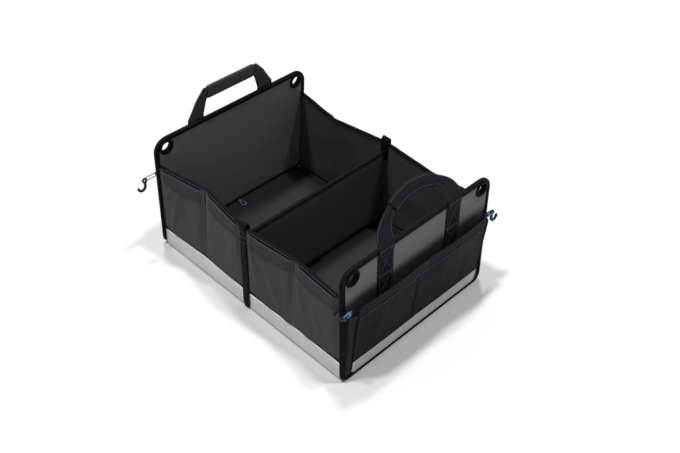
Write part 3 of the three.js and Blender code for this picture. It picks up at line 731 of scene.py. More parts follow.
def end_pocket_out(sign, y, z):
    """Outer face of the end pocket's front, from the panel's face."""
    share = (z - foot_height(y)) / (mouth_height(y) - foot_height(y))
    swell = 0.004 * np.sin(math.pi * np.minimum(np.abs(y), END_POCKET_HALF) / END_POCKET_HALF)
    out = 0.0020 + (0.0185 + swell) * np.clip(share, 0, 1) ** 0.94
    soft = creases(y * sign, z, END_POCKET_FOLDS) + waves(y, z, 31 + sign, 0.09, 0.0004)
    edge = ease(END_POCKET_HALF - np.abs(y), 0, 0.03) * ease(z - foot_height(y), 0.03, 0.07)
    return out + soft * edge * ease(END_POCKET_TOP - z, -0.002, 0.03)


def on_front(sign, y, z, lift):
    """Points at a lift over the end pocket's front."""
    return on_end(sign, PANEL_FACE + end_pocket_out(sign, y, z) + lift, y, z)


def across_front(step=0.003):
    half = [*np.arange(0, END_POCKET_HALF - MOUTH_CORNER, step)]
    half += [END_POCKET_HALF - MOUTH_CORNER * (1 - math.sin(a)) for a in np.linspace(0, math.pi / 2, 9)]
    return np.array([-y for y in half[:0:-1]] + half)


def end_pocket(sign):
    end = f"end_{LETTERS[sign]}"
    y = across_front()[:, None]
    z = foot_height(y) + np.linspace(0, 1, 56) * (mouth_height(y) - foot_height(y))
    front, back = on_front(sign, y, z, 0), on_front(sign, y, z, -POCKET_CLOTH)
    name = f"{end}_pocket_front"
    sheet(name, front, back, "pocket", f"{end}_pocket")
    end_hem(sign, f"{end}_pocket_hem", y)
    sew_front(sign)
    z = np.linspace(END_POCKET_FOOT + FOOT_CORNER - END_TAPE, END_POCKET_TOP - MOUTH_CORNER, 40)
    for side, where in SIDES.items():
        gusset(sign, side)
        line = on_front(sign, side * END_POCKET_HALF, z, -0.0004)
        finish_piece(sweep(f"{end}_pocket_edge_{where}", tube_rings(line, 0.0015, 10)), "tape")


def end_hem(sign, name, y):
    """Hem of an end pocket: outside strip, rim and the edge turned down inside."""
    top = mouth_height(y)
    z = top - END_HEM * (1 - np.linspace(0, 1, 12))
    turned = top - END_HEM_TURNED
    outside, under = on_front(sign, y, z, 0.0008), on_front(sign, y, z, 0.0001)
    rim = np.array([0, 0, 0.00072])
    inside = [on_front(sign, y, height, -POCKET_CLOTH - 0.0004) for height in (top, turned)]
    lined = [on_front(sign, y, height, -POCKET_CLOTH - 0.0001) for height in (top, turned)]
    front = np.concatenate([outside, outside[:, -1:] + rim, under[:, -1:] + rim, *inside], axis=1)
    crest = on_front(sign, y, top, 0.0001) + np.array([0, 0, 0.0003])
    back = np.concatenate([under, crest, crest, *lined], axis=1)
    sheet(name, front, back, "end_hem", None)


def sew_front(sign):
    facing = end_normal(sign)
    y = np.linspace(-END_POCKET_HALF + 0.003, END_POCKET_HALF - 0.003, 220)
    for below in END_HEM_ROWS:
        sew("blue", on_front(sign, y, mouth_height(y) - below, 0.0009), facing, width=0.0007)
    z = np.linspace(END_POCKET_TOP - 0.034, END_POCKET_TOP - 0.003, 12)
    for seam_y in (-0.0035, 0.0035):
        sew("blue", on_front(sign, seam_y, z, 0.0010), facing, pitch=0.0026, length=0.0022)
    z = np.linspace(BAND_TOP + 0.002, END_POCKET_TOP - END_HEM - 0.002, 40)
    seam = on_front(sign, -0.020 * sign, z, 0.0002)
    sew("dark", seam, facing, pitch=0.0034, length=0.003, width=0.0009)
    z = np.linspace(0.05, END_POCKET_TOP - 0.028, 30)
    for side in SIDES:
        line = on_front(sign, side * (END_POCKET_HALF - 0.003), z, 0.0001)
        sew("blue", line, facing, pitch=0.005)


def gusset(sign, side):
    """Pleated side of an end pocket, from the edge of its front to the panel."""
    end = f"end_{LETTERS[sign]}"
    across = np.linspace(0, 1, 15)[:, None]
    edge = np.array([END_POCKET_HALF])
    share = np.linspace(0, 1, 48)[None, :]
    z = foot_height(edge) + share * (mouth_height(edge) - foot_height(edge))
    front = end_pocket_out(sign, edge, z) - 0.0005
    pleat = PLEAT * np.sin(across * 2 * math.pi * PLEATS) * ease(share, 0.05, 0.7)
    ribs = 0.00025 * np.sin(share * 2 * math.pi * GUSSET_RIBS)
    y = END_POCKET_HALF + (GUSSET_HALF - END_POCKET_HALF) * across - pleat * (across < 0.999) - 0.0006 + ribs
    out = PANEL_FACE + front * (1 - across) + 0.0002
    z = z - 0.010 * np.sin(math.pi * across) * ease(share, 0.6, 1)
    outer, inner = on_end(sign, out, side * y, z), on_end(sign, out, side * (y - 0.0008), z)
    name, rest = f"{end}_gusset_{SIDES[side]}", f"{end}_pocket_front"
    sheet(name, outer, inner, "gusset", None)


def end_band(sign):
    end = f"end_{LETTERS[sign]}"
    y = across_front(0.004)[:, None]
    low = foot_height(y) + 0.0012
    z = low + np.linspace(0, 1, 9) * (BAND_TOP - low)
    obj = shell(f"{end}_silver_band", on_front(sign, y, z, 0.0009), on_front(sign, y, z, 0.0002))
    finish_piece(obj, "band", f"{end}_reflective_band")
    y = np.linspace(-END_POCKET_HALF + 0.004, END_POCKET_HALF - 0.004, 160)
    sew("dark", on_front(sign, y, BAND_TOP - 0.002, 0.0009), end_normal(sign), pitch=0.0034)


# Handles
GRIP_TOP = 0.3305
GRIP_FOOT = 0.3055
GRIP_HALF = 0.059
GRIP_AROUND = 0.0025
GRIP_HALF_THICKNESS = 0.0034
WEBBING = 0.0016
LEG_FOOT = 0.150
LEG_SPACING = 0.182
LEG_HALF = 0.020

# Edges of the upright handle from its foot to its grip: outer and inner (y, z)
HANDLE_EDGES = [
    ((0.111, 0.150), (0.071, 0.150)),
    ((0.111, 0.2495), (0.071, 0.2495)),
    ((0.111, 0.2565), (0.071, 0.2565)),
    ((0.111, 0.268), (0.071, 0.268)),
    ((0.1105, 0.273), (0.071, 0.272)),
    ((0.103, 0.284), (0.068, 0.282)),
    ((0.088, 0.309), (0.064, 0.297)),
    ((0.069, GRIP_TOP), (0.060, GRIP_FOOT)),
]


def on_handle(sign, y, z, offset):
    """Points of an upright handle, from its inner face."""
    climb = PANEL_HEIGHT - END_TAPE - TAPE_REACH
    face = PANEL_FACE + (BINDING_FACE - PANEL_FACE) * ease(z, climb - 0.007, climb)
    return on_end(sign, face + offset, y, z)


def grip_section():
    """Points round a grip sleeve's folded section, thick and wide from -1 to 1, and the angle of each."""
    turn = np.radians(np.arange(0, 360, 15))[None, :]
    return squared_off(np.cos(turn), 0.75), squared_off(np.sin(turn), 0.45), turn


def grip_stations(reach, count):
    """Places along a grip from -reach to reach, and the share of its section that is left at each."""
    part = np.concatenate([[-1, -0.985], np.linspace(-0.95, 0.95, count), [0.985, 1]])[:, None]
    return part * reach, np.where(np.abs(part) > 0.99, 0.86, np.where(np.abs(part) > 0.97, 0.96, 1.0))


def finish_handle(sign, strap, strap_material, sleeve, sleeve_material):
    end = f"end_{LETTERS[sign]}_handle"
    finish_piece(shell(f"{end}_strap", *strap), strap_material, f"{end}_webbing")
    obj = finish_piece(sweep(f"{end}_sleeve", sleeve), sleeve_material, f"{end}_grip")


def upright_handle(sign):
    half = np.array(HANDLE_EDGES)
    stations = np.concatenate([half, half[::-1] * [-1, 1]])
    fine = []
    for here, after in zip(stations, stations[1:]):
        count = max(2, round(math.dist(here[0], after[0]) / 0.005))
        fine += [here + (after - here) * s for s in np.arange(count) / count]
    outer, inner = np.moveaxis([*fine, stations[-1]], 1, 0)
    across = np.linspace(0, 1, 9)
    y, z = (outer[:, k, None] + (inner - outer)[:, k, None] * across for k in (0, 1))
    round_edge = 0.0005 * (2 * np.abs(across - 0.5)) ** 6
    strap = on_handle(sign, y, z, WEBBING - round_edge), on_handle(sign, y, z, round_edge)

    # Grip sleeve, folded round the webbing and sewn along its edges
    middle, half_width = (GRIP_TOP + GRIP_FOOT) / 2, (GRIP_TOP - GRIP_FOOT) / 2 + GRIP_AROUND
    thick, wide, _ = grip_section()
    y, close = grip_stations(GRIP_HALF, 41)
    uneven = 1 + waves(y, middle + half_width * wide, 17 + sign, 0.03, 0.05)
    z = middle + half_width * wide * (1 - (1 - close) * 0.3)
    sleeve = on_handle(sign, y, z, WEBBING / 2 + GRIP_HALF_THICKNESS * thick * close * uneven)
    finish_handle(sign, strap, "handle_a", sleeve, "grip_a")
    y = np.linspace(-GRIP_HALF + 0.002, GRIP_HALF - 0.002, 40)
    for z in (GRIP_FOOT + 0.002, GRIP_TOP - 0.001):
        sew("blue", on_handle(sign, y, z, 0.0040), end_normal(sign), pitch=0.0045)
    sew_legs(sign)


def sew_legs(sign):
    """Box and cross stitching on the legs of a handle."""
    for leg in (-LEG_SPACING / 2, LEG_SPACING / 2):
        left, right = leg - 0.0165, leg + 0.0165
        for low, high in ((0.205, 0.262), (0.158, 0.203)):
            box = [(left, low), (right, low), (right, high), (left, high), (left, low)]
            for line in (box, box[0:3:2], box[3:0:-2]):
                corners = np.array(line)
                along = lengths(corners)
                fine = np.linspace(0, along[-1], 60)
                y, z = (np.interp(fine, along, corners[:, k]) for k in (0, 1))
                sew("blue", on_handle(sign, y, z, WEBBING), end_normal(sign), width=0.0007)


# Soft handle of end B: an arch that has flopped inwards, at angles from -90 degrees by its near leg to 90
ARCH_FOOT = PANEL_HEIGHT + 0.001
ARCH_LIFT = 0.004
SOFT_TILT = math.radians(33)
SOFT_HEIGHT = 0.061
SOFT_SWAY = 0.008
SOFT_HALF = 0.010
SOFT_NARROW = 0.45


def soft_point(angle, across, offset):
    angle, across, offset = np.broadcast_arrays(angle, across, offset)
    sin, cos = np.sin(angle), np.cos(angle)
    steep_y, steep_z = 2 * sin / LEG_SPACING, cos / SOFT_HEIGHT
    size = np.hypot(steep_y, steep_z)
    y = LEG_SPACING / 2 * sin + SOFT_SWAY * cos + steep_y / size * across
    up = ARCH_LIFT + SOFT_HEIGHT * cos + steep_z / size * across
    out = BINDING_FACE + offset * math.cos(SOFT_TILT) - up * math.sin(SOFT_TILT)
    return on_end(1, out, y, ARCH_FOOT + up * math.cos(SOFT_TILT) + offset * math.sin(SOFT_TILT))


def soft_half(angle):
    return SOFT_HALF + (LEG_HALF - SOFT_HALF) * ease(np.abs(angle) / (math.pi / 2), SOFT_NARROW, 1)


def soft_handle():
    across = np.linspace(-1, 1, 13)[None, :]
    angle = np.radians(np.linspace(-90, 90, 91))[:, None]
    height = np.linspace(LEG_FOOT, ARCH_FOOT, 26)[:-1, None]
    round_edge = 0.0005 * np.abs(across) ** 6
    narrow = ease(1 - np.abs(angle) / (math.pi / 2), 0.05, 0.5)
    folded = 0.0016 * narrow * np.exp(-(((across + 0.35 - 0.5 * narrow) / 0.16) ** 2))
    cupped = 0.0012 * narrow * (across**2 - 0.3)

    def face(offset, extra):
        near = on_handle(1, -LEG_SPACING / 2 - across * LEG_HALF, height, offset)
        far = on_handle(1, LEG_SPACING / 2 + across * LEG_HALF, height, offset)
        arch = soft_point(angle, across * soft_half(angle), offset + extra)
        return np.concatenate([near, arch, far[::-1]])

    reach = 2 * GRIP_HALF / LEG_SPACING
    stations, close = grip_stations(reach, 45)
    thick, wide, turn = grip_section()
    uneven = 1 + waves(stations * 0.1, turn * 0.01, 18, 0.03, 0.06)
    wide = (SOFT_HALF + GRIP_AROUND) * wide * (1 - (1 - close) * 0.3)
    thick = (WEBBING / 2 + GRIP_AROUND) * thick * close * uneven
    strap = face(WEBBING - round_edge, folded + cupped), face(round_edge, cupped)
    finish_handle(1, strap, "webbing", soft_point(stations, wide, WEBBING / 2 + thick), "grip")

    facing = end_normal(1) * math.cos(SOFT_TILT) + np.array([0, 0, math.sin(SOFT_TILT)])
    line = np.linspace(-reach, reach, 60) * 0.97
    for edge in (-1, 1):
        for offset, way in ((WEBBING + GRIP_AROUND, 1), (-GRIP_AROUND, -1)):
            sew("blue", soft_point(line, edge * (SOFT_HALF - 0.0005), offset), way * facing, pitch=0.004)
    for low, high in ((-1.5, -reach - 0.02), (reach + 0.02, 1.5)):
        line = np.linspace(low, high, 50)
        for edge in (-1, 1):
            sew("blue", soft_point(line, edge * (soft_half(line) - 0.002), WEBBING), facing, pitch=0.004)
    sew_legs(1)


# Elastic cords and hooks
CORD = 0.002
CORD_OUT = 0.0095
CORD_SPREAD = 0.008
CORD_Z = 0.178
KNOT_Y = 0.1905
KNOT_SIZE = 0.0035
EYE_SLACK = 0.0019  # from the middle of a hook's eye to the cord that it rests on
CLIPPED_SLACK = EYE_SLACK / 2
SHORT_REACH, LONG_REACH = 0.203, 0.221

# End, side, how far the loop reaches and whether its hook is clipped to the panel's edge
CORD_SETS = [
    (1, 1, SHORT_REACH, False),
    (1, -1, SHORT_REACH, True),
    (-1, 1, SHORT_REACH, False),
    (-1, -1, LONG_REACH, False),
]


def gusset_at(out):
    share = (CORD_Z - END_POCKET_FOOT) / (END_POCKET_TOP - END_POCKET_FOOT)
    return GUSSET_HALF - (GUSSET_HALF - END_POCKET_HALF) * out / (0.0015 + 0.0185 * share)


def cord_path(sign, side, reach, clipped):
    radius = CORD_SPREAD / 2
    bend = arc(0, reach - radius, -radius, radius, 0, math.pi, 9)
    out = [CORD_OUT + (0 if clipped else across) - CORD / 2 for across in (-radius, radius)]
    first, last = (gusset_at(o) + SEAT for o in out)
    strand = [(-radius, y) for y in np.linspace(first, bend[0][1], 7)[:-1]]
    back = [(radius, y) for y in np.linspace(bend[-1][1], last, 7)[1:]]
    across, y = np.array(strand + bend + back).T
    if clipped:
        return smooth_path(on_end(sign, PANEL_FACE + CORD_OUT, side * y, CORD_Z + across))
    return smooth_path(on_end(sign, PANEL_FACE + CORD_OUT + across, side * y, CORD_Z))


def hook_outline(side, clipped):
    radius, drop, tip = 0.008, 0.014, 0.007
    if clipped:
        x, y = END_THICKNESS / 2 - PANEL_FACE - CORD_OUT, side * (radius / 4 - CLIPPED_SLACK)
        bend = arc(x, y, radius, side * radius, 0, math.pi, 17)
        x, y = bend[-1]
        return [(-0.0046, 0), *bend, (x, y - side * tip / 2), (x, y - side * tip)]
    return [(0, -0.0046)] + arc(side * radius, -drop, side * radius, radius, math.pi, 2.1 * math.pi, 17)


def hook(name, sign, side, reach, clipped):
    """An eye and a bent bar with rounded edges, in the hook's own plane, then turned onto the panel."""
    thick, bar = (0.004, 0.004) if clipped else (0.0048, 0.005)
    path = smooth_path([(x, y, 0) for x, y in hook_outline(side, clipped)])
    ahead = directions(path)
    across = np.stack([-ahead[:, 1], ahead[:, 0], 0 * ahead[:, 0]], axis=-1)
    angle, turn = turns(16), turns(36)
    a, b = squared_off(np.cos(angle), 0.55), squared_off(np.sin(angle), 0.55) * thick / 2
    upright = np.array([0, 0, 1]) * b[None, :, None]
    taper = np.ones((len(path), 1, 1))
    taper[-4:, 0, 0] = (0.95, 0.88, 0.75, 0.5)
    rings = path[:, None] + (across[:, None] * a[None, :, None] * bar / 2 + upright) * taper
    spoke = np.stack([np.cos(turn), np.sin(turn), 0 * turn], axis=-1)
    eye = spoke[:, None] * (0.0046 + 0.0014 * a)[None, :, None] + upright
    n, k = rings.shape[:2]
    faces = grid_faces(n, k, wrap_v=True) + [tuple(range(k)), tuple(range((n - 1) * k, n * k))]
    faces += grid_faces(len(turn), k, n * k, wrap_u=True, wrap_v=True)
    u, v, w = np.concatenate([rings.reshape(-1, 3), eye.reshape(-1, 3)]).T
    if clipped:
        placed = on_end(sign, PANEL_FACE + CORD_OUT + u, side * (reach + CLIPPED_SLACK) + v, CORD_Z + w)
    else:
        placed = on_end(sign, PANEL_FACE + CORD_OUT + w, side * reach + u, CORD_Z - EYE_SLACK + v)
    return finish_piece(add_mesh(f"{name}_moulded", placed, faces), "hook", name)


def knot(name, centre):
    """A small overhand knot: a few turns wound along y round the strands."""
    along, side, other = np.array([0, 1, 0]), np.array([1, 0, 0]), np.array([0, 0, -1])
    turns = np.linspace(0, 3.4 * 2 * math.pi, 60)[:, None]
    swell = KNOT_SIZE * (1 + 0.2 * np.sin(turns * 0.9))
    path = centre + along * (turns / turns[-1] - 0.5) * KNOT_SIZE * 1.7
    path = path + swell * (np.cos(turns) * side + np.sin(turns) * other)
    return finish_piece(sweep(name, tube_rings(path, CORD / 2, 8)), "cord")


def make_cords():
    for sign, side, reach, clipped in CORD_SETS:
        end, where = f"end_{LETTERS[sign]}", SIDES[side]
        path = cord_path(sign, side, reach, clipped)
        obj = sweep(f"{end}_elastic_{where}", tube_rings(path, CORD / 2))
        finish_piece(obj, "cord", f"{end}_cord_loop_{where}")
        root = on_end(sign, PANEL_FACE + CORD_OUT, side * KNOT_Y, CORD_Z)
        moulded = hook(f"{end}_hook_{where}", sign, side, reach, clipped)
        tied = knot(f"{end}_knot_{where}", root)


def make_pull_loops():
    cord, length, width = 0.0024, 0.024, 0.013
    far = float(wall_end(FLOOR_Z + FLOOR_BOARD)) - 0.002 - 0.002 - cord / 2
    radius = (width - cord) / 2
    start = far - length + cord + radius
    bend = arc(start, 0, radius, -radius, math.pi / 2, 3 * math.pi / 2, 9)
    quarter, ends = far - length / 4, cord * 0.6
    route = [(far, -ends), (quarter, -ends * 1.4), *bend, (quarter, ends * 1.4), (far, ends)]
    height = FLOOR_Z + FLOOR_BOARD + SEAT + cord / 2
    for sign, letter in LETTERS.items():
        path = smooth_path([(sign * x, y, height) for x, y in route])
        obj = sweep(f"floor_{letter}_pull_cord", tube_rings(path, cord / 2))
        finish_piece(obj, "cord", f"pull_loop_{letter}", f"floor_board_{letter}")


# Side walls
WALL_FOLDS = {
    -1: [
        (-0.215, 0.110, 72, 0.060, 0.007, 0.0022),
        (-0.235, 0.140, 60, 0.045, 0.006, 0.0018),
        (-0.180, 0.120, 100, 0.050, 0.012, -0.0012),
        (-0.150, 0.090, 88, 0.050, 0.007, 0.0010),
        (-0.105, 0.115, 96, 0.060, 0.012, 0.0012),
        (-0.065, 0.100, 78, 0.055, 0.012, -0.0015),
        (-0.040, 0.120, 84, 0.060, 0.006, 0.0012),
        (0.030, 0.125, 104, 0.050, 0.006, 0.0028),
        (0.052, 0.120, 108, 0.060, 0.006, -0.0020),
        (0.072, 0.125, 110, 0.055, 0.006, 0.0024),
        (0.100, 0.120, 98, 0.050, 0.008, -0.0012),
        (0.155, 0.120, 106, 0.060, 0.006, 0.0026),
        (0.175, 0.110, 108, 0.055, 0.007, -0.0020),
        (0.195, 0.115, 100, 0.050, 0.007, 0.0018),
        (0.230, 0.120, 80, 0.045, 0.008, 0.0012),
    ],
    1: [
        (-0.220, 0.115, 70, 0.055, 0.008, 0.0020),
        (-0.180, 0.110, 96, 0.050, 0.009, -0.0014),
        (-0.100, 0.110, 84, 0.055, 0.009, 0.0016),
        (-0.060, 0.105, 98, 0.055, 0.009, -0.0014),
        (0.045, 0.115, 104, 0.055, 0.007, 0.0022),
        (0.085, 0.110, 98, 0.055, 0.008, -0.0016),
        (0.165, 0.115, 104, 0.055, 0.008, 0.0022),
        (0.205, 0.110, 86, 0.050, 0.009, 0.0014),
    ],
}
SIDE_HEM_TURNED = 0.014
SIDE_HEM_ROWS = (0.003, 0.009, 0.016)

# Places along a half wall: the strap's edge, each hem's ends and the rows down the hem beside its ends
HALF_STRAP_T = 0.047
SIDE_HEM_ENDS = ((HALF_STRAP_T, 0.985), (1.015, 1.99))
SIDE_HEM_POSTS = (0.075, 0.105, 0.94, 0.97, 1.03, 1.06, 1.93)


def wall_stations(step, low=-2.0, high=2.0):
    return np.linspace(low, high, round((high - low) / step) + 1)[:, None]


def from_seams(t, z):
    """Distance to the nearest sewn line of a wall: its middle, a fold crease or an end."""
    part = np.abs(t)
    inner = np.minimum(part * CREASE_X - 0.006, (1 - part) * CREASE_X)
    outer = np.minimum(part - 1, 2 - part) * (wall_end(z) - CREASE_X)
    return np.where(part < 1, inner, outer)


def side_pocket_out(side, t, z):
    """Outer face of the wall's pockets, from the wall's outer face."""
    distance = from_seams(t, z)
    rise = ease(distance, 0.003, 0.016)
    share = np.clip((z - BAND_TOP) / (SIDE_POCKET_TOP - BAND_TOP), 0, 1)
    x = wall_x(t, z)
    soft = creases(x, z, WALL_FOLDS[side]) + waves(x, z, 50 + side, 0.07, 0.0004)
    calm = ease(distance, 0.002, 0.02) * ease(z, BAND_TOP + 0.002, BAND_TOP + 0.03)
    lap = 0.0008 * (1 - ease(z, BAND_TOP + 0.001, BAND_TOP + 0.012))
    drawn_in = 1 - 0.55 * ease(share, 0.55, 1)
    return 0.0013 + SIDE_POCKET_DEPTH * rise * share * drawn_in + soft * calm * (0.45 + 0.55 * rise) + lap


def along_pocket(t):
    part = np.abs(t)
    return np.where(part < 1, part, part - 1)


def side_mouth(t):
    """Height of the pockets' upper edge, which hangs a little between its sewn lines."""
    return SIDE_POCKET_TOP + 0.0005 - 0.001 * np.sin(math.pi * along_pocket(t)) ** 2


def side_foot(side, t):
    """Height of the pockets' wavy lower edge, which is drawn up beside the end panels and the strap."""
    part = np.abs(t)
    drawn = 0.006 * (1 - ease(part, 0.05, 0.5)) + 0.007 * ease(part, 1.6, 2.0)
    return BAND_TOP + 0.003 + drawn + waves(t * 0.13, 0 * t, 61 + side, 0.05, 0.0020)


def side_hem_depth(side, t):
    return 0.027 + 0.005 * np.sin(math.pi * along_pocket(t)) + 0.0015 * np.sin(7 * t + side)


def on_pocket(side, t, z, lift):
    return on_wall(side, t, z, side_pocket_out(side, t, z) + lift)


def wall_facing(side):
    return np.array([0, side, 0.04])


def side_hem(side, name, low, high, rest):
    """Hem of one pocket: outside strip, rim and the edge turned down inside."""
    t = wall_stations(0.03, low, high)
    top = side_mouth(t)
    z = top - side_hem_depth(side, t) * (1 - np.linspace(0, 1, 10))
    turned = top - SIDE_HEM_TURNED
    rim = on_pocket(side, t, top, 0.0004) + np.array([0, 0, 0.0009])
    crest = on_pocket(side, t, top, 0.0003) + np.array([0, 0, 0.0002])
    inside = [on_pocket(side, t, height, -0.0014) for height in (top, turned)]
    lined = [on_pocket(side, t, height, -0.0010) for height in (top, turned)]
    front = np.concatenate([on_pocket(side, t, z, 0.0008), rim, *inside], axis=1)
    back = np.concatenate([on_pocket(side, t, z, 0.0001), crest, *lined], axis=1)
    sheet(name, front, back, "hem", None)
    t = np.linspace(low, high, 90)
    for below in (*SIDE_HEM_ROWS, side_hem_depth(side, t) - 0.0015):
        sew("blue", on_pocket(side, t, side_mouth(t) - below, 0.0009), wall_facing(side), width=0.0007)


def side_pockets(side):
    """Two pocket sheets, each sewn down at its fold crease."""
    wall = f"side_{SIDES[side]}"
    for half, letter in LETTERS.items():
        t = wall_stations(0.035, *sorted((half * HALF_STRAP_T, half * 2.0)))
        foot = side_foot(side, t)
        z = foot + np.linspace(0, 1, 46) * (side_mouth(t) - foot)
        name, node_name = f"{wall}_pocket_{letter}_cloth", f"{wall}_pocket_{letter}"
        front, back = on_pocket(side, t, z, 0), on_pocket(side, t, z, -0.0009)
        # The near wall's pockets take the pocket cloth's painted lighter copy, for the light on the near
        # side; the far wall's take the darker one
        material, rest = "pocket" if side == 1 else "side_pocket", f"{wall}_outer_sheet"
        sheet(name, front, back, material, node_name)
        for number, ends in enumerate(SIDE_HEM_ENDS, 1):
            side_hem(side, f"{wall}_hem_{letter}{number}", *sorted(half * end for end in ends), name)

        # Rows down the hem beside each sewn line, and the seam in the crease
        facing = wall_facing(side)
        z = np.linspace(SIDE_POCKET_TOP - 0.030, SIDE_POCKET_TOP - 0.002, 12)
        for t in SIDE_HEM_POSTS:
            line = on_pocket(side, half * t, z, 0.0010)
            sew("pale" if half == -1 else "blue", line, facing, pitch=0.003, length=0.0024)
        z = np.linspace(BAND_TOP, SIDE_POCKET_TOP - 0.001, 60)
        seam = on_pocket(side, half, z, 0.0002)
        sew("pale" if half == 1 else "dark", seam, facing, pitch=0.0031, length=0.0026, width=0.0008)


def side_wall(side):
    wall = f"side_{SIDES[side]}"
    t = wall_stations(0.04)
    z = WALL_FOOT + np.linspace(0, 1, 34)[None, :] * (WALL_TOP - WALL_FOOT)
    calm = ease(from_seams(t, z), 0.0, 0.03) * ease(np.minimum(z, WALL_TOP - z), 0.0, 0.03)
    outer = waves(wall_x(t, z), z, 70 + side, 0.10, 0.00025) * calm
    inner = -WALL_THICKNESS - waves(wall_x(t, z), z, 80 + side, 0.10, 0.0004) * calm
    for name, face, behind, material, slot, node_name in (
        ("outer_cloth", outer, -0.0008 + outer * 0.4, "wall", "grey_sheet", "outer_sheet"),
        ("inner_cloth", inner, -0.0034, "lining", "lining", "lining"),
    ):
        front, back = on_wall(side, t, z, face), on_wall(side, t, z, behind)
        replaced, rest = f"{wall}_{node_name}", f"{wall}_board_1"
        sheet(f"{wall}_{name}", front, back, material, replaced)
    wall_tape(side, wall, t)

    # Silver band along the foot, in the band material's painted lighter copy
    z = np.linspace(0.0008, BAND_TOP, 10)[None, :]
    lift = waves(wall_x(t, z), z, 90 + side, 0.06, 0.00008)
    obj = shell(f"{wall}_silver_band", on_wall(side, t, z, 0.0010 + lift), on_wall(side, t, z, 0.0003))
    finish_piece(obj, "painted_lighter_band", f"{wall}_reflective_band")


def wall_tape(side, wall, t):
    """Tape over a wall's top edge, from its section across the wall's middle."""
    foot, top, cavity = WALL_HEIGHT - 0.0050, WALL_HEIGHT, WALL_TOP + SEAT
    half, gap, middle = WALL_THICKNESS / 2 + TAPE_REACH, WALL_THICKNESS / 2 + SEAT, -WALL_THICKNESS / 2
    section = [
        (half - 0.0003, foot),
        (half, foot + 0.0015),
        (half - 0.0001, top - 0.0022),
        (half - 0.0007, top - 0.0009),
        (half - 0.0022, top),
    ]
    section += mirrored(section) + [(-gap, foot), (-gap, cavity), (gap, cavity), (gap, foot)]
    offset, height = np.array(section).T[:, None]
    obj = sweep(f"{wall}_tape", on_wall(side, t, height, middle + offset))
    finish_piece(obj, "tape", f"{wall}_binding")
    # A pale tube along the foot of the tape's outer side: a painted highlight where light catches the tape's
    # edge
    edge, around = 0.0016, np.radians(np.arange(0, 360, 36))
    height = foot + edge + edge * np.sin(around)
    ring = on_wall(side, t, height, TAPE_REACH - edge * 0.6 + edge * np.cos(around))
    finish_piece(sweep(f"{wall}_tape_edge_painted_highlight", ring), "painted_highlight_tape")
    line = np.linspace(-1.99, 1.99, 240)
    for way in (1, -1):
        path = on_wall(side, line, foot + 0.0012, middle + way * (half + 0.0001))
        sew("dark", path, way * wall_facing(side), **TAPE_SEAM)


STRAP_EDGE = [(0.9, 1), (0.97, 0.7), (1, 0.25)]
STRAP_OUTER, STRAP_INNER, STRAP_TOP, STRAP_BEND = 0.1966, 0.1858, 0.2192, 0.2105
STRAP_HALF_THICKNESS = 0.0008


def side_strap(side):
    """Webbing over the wall's top edge at its middle: outside to the floor, inside to the divider."""
    middle, reach = (STRAP_OUTER + STRAP_INNER) / 2, (STRAP_OUTER - STRAP_INNER) / 2
    rise = STRAP_TOP - STRAP_BEND
    outside = [(STRAP_OUTER + 0.0004 * math.sin(z * 60), z) for z in np.linspace(0.0022, 0.205, 34)]
    arch = arc(middle, STRAP_BEND, reach, rise, 0.1, math.pi - 0.1, 11)
    inside = [(STRAP_INNER, z) for z in np.linspace(0.205, 0.1684, 9)]
    route = np.array(outside + arch + inside)
    ahead = directions(route)
    upper = mirrored(STRAP_EDGE) + STRAP_EDGE
    profile = upper + [(x, -v) for x, v in upper[::-1]]
    width = np.ones(len(route))
    width[:4] = (0.78, 0.92, 0.98, 1.0)
    u, v = np.array(profile).T[:, None]
    x = STRAP_WIDTH / 2 * width[:, None] * u
    y = side * (route[:, 0, None] + ahead[:, 1, None] * v * STRAP_HALF_THICKNESS)
    z = route[:, 1, None] - ahead[:, 0, None] * v * STRAP_HALF_THICKNESS
    wall = f"side_{SIDES[side]}"
    obj = sweep(f"{wall}_strap_webbing", xyz(x, y, z))
    finish_piece(obj, "strap", f"{wall}_strap")

    def sew_strap(x, z):
        sew("blue", xyz(x, side * (STRAP_OUTER + 0.0009), z), [0, side, 0], pitch=0.0035)

    for x in (-0.0075, 0.0075):
        sew_strap(x, np.linspace(0.172, 0.198, 12))
    for z in (0.172, 0.186, 0.198):
        sew_strap(np.linspace(-0.0075, 0.0075, 6), z)


# Inside
BOARD_CORNER = 0.010
BOTTOM_CORNER = 0.004


def box_ring(low, high, radius, z, inset=0.0):
    """A ring of points round a box's plan, with rounded corners."""
    corners, _ = rounded(low.xy, high.xy, radius, radius, 8, inset)
    points, _ = subdivided(corners, 0.02)
    return np.column_stack([points, np.full(len(points), z)])


def floor_boards():
    for letter in LETTERS.values():
        body = f"floor_board_{letter}"
        low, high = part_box(body)
        layers = (
            (0.0060, low.z),
            (0.0014, low.z + 0.0001),
            (0.0004, low.z + 0.0008),
            (0.0, low.z + 0.0018),
            (0.0, high.z - 0.0018),
            (0.0004, high.z - 0.0008),
            (0.0016, high.z - 0.0001),
            (0.0040, high.z + 0.00015),
            (0.0090, high.z),
        )
        rings = [box_ring(low, high, BOARD_CORNER, z, inset) for inset, z in layers]
        finish_piece(sweep(f"floor_{letter}_board_cover", rings), "board", body, body)
        ring = box_ring(low, high, BOARD_CORNER, high.z + 0.0001, 0.0062)
        sew("dark", [*ring, ring[0]], [0, 0, 1], body=body, **TAPE_SEAM)


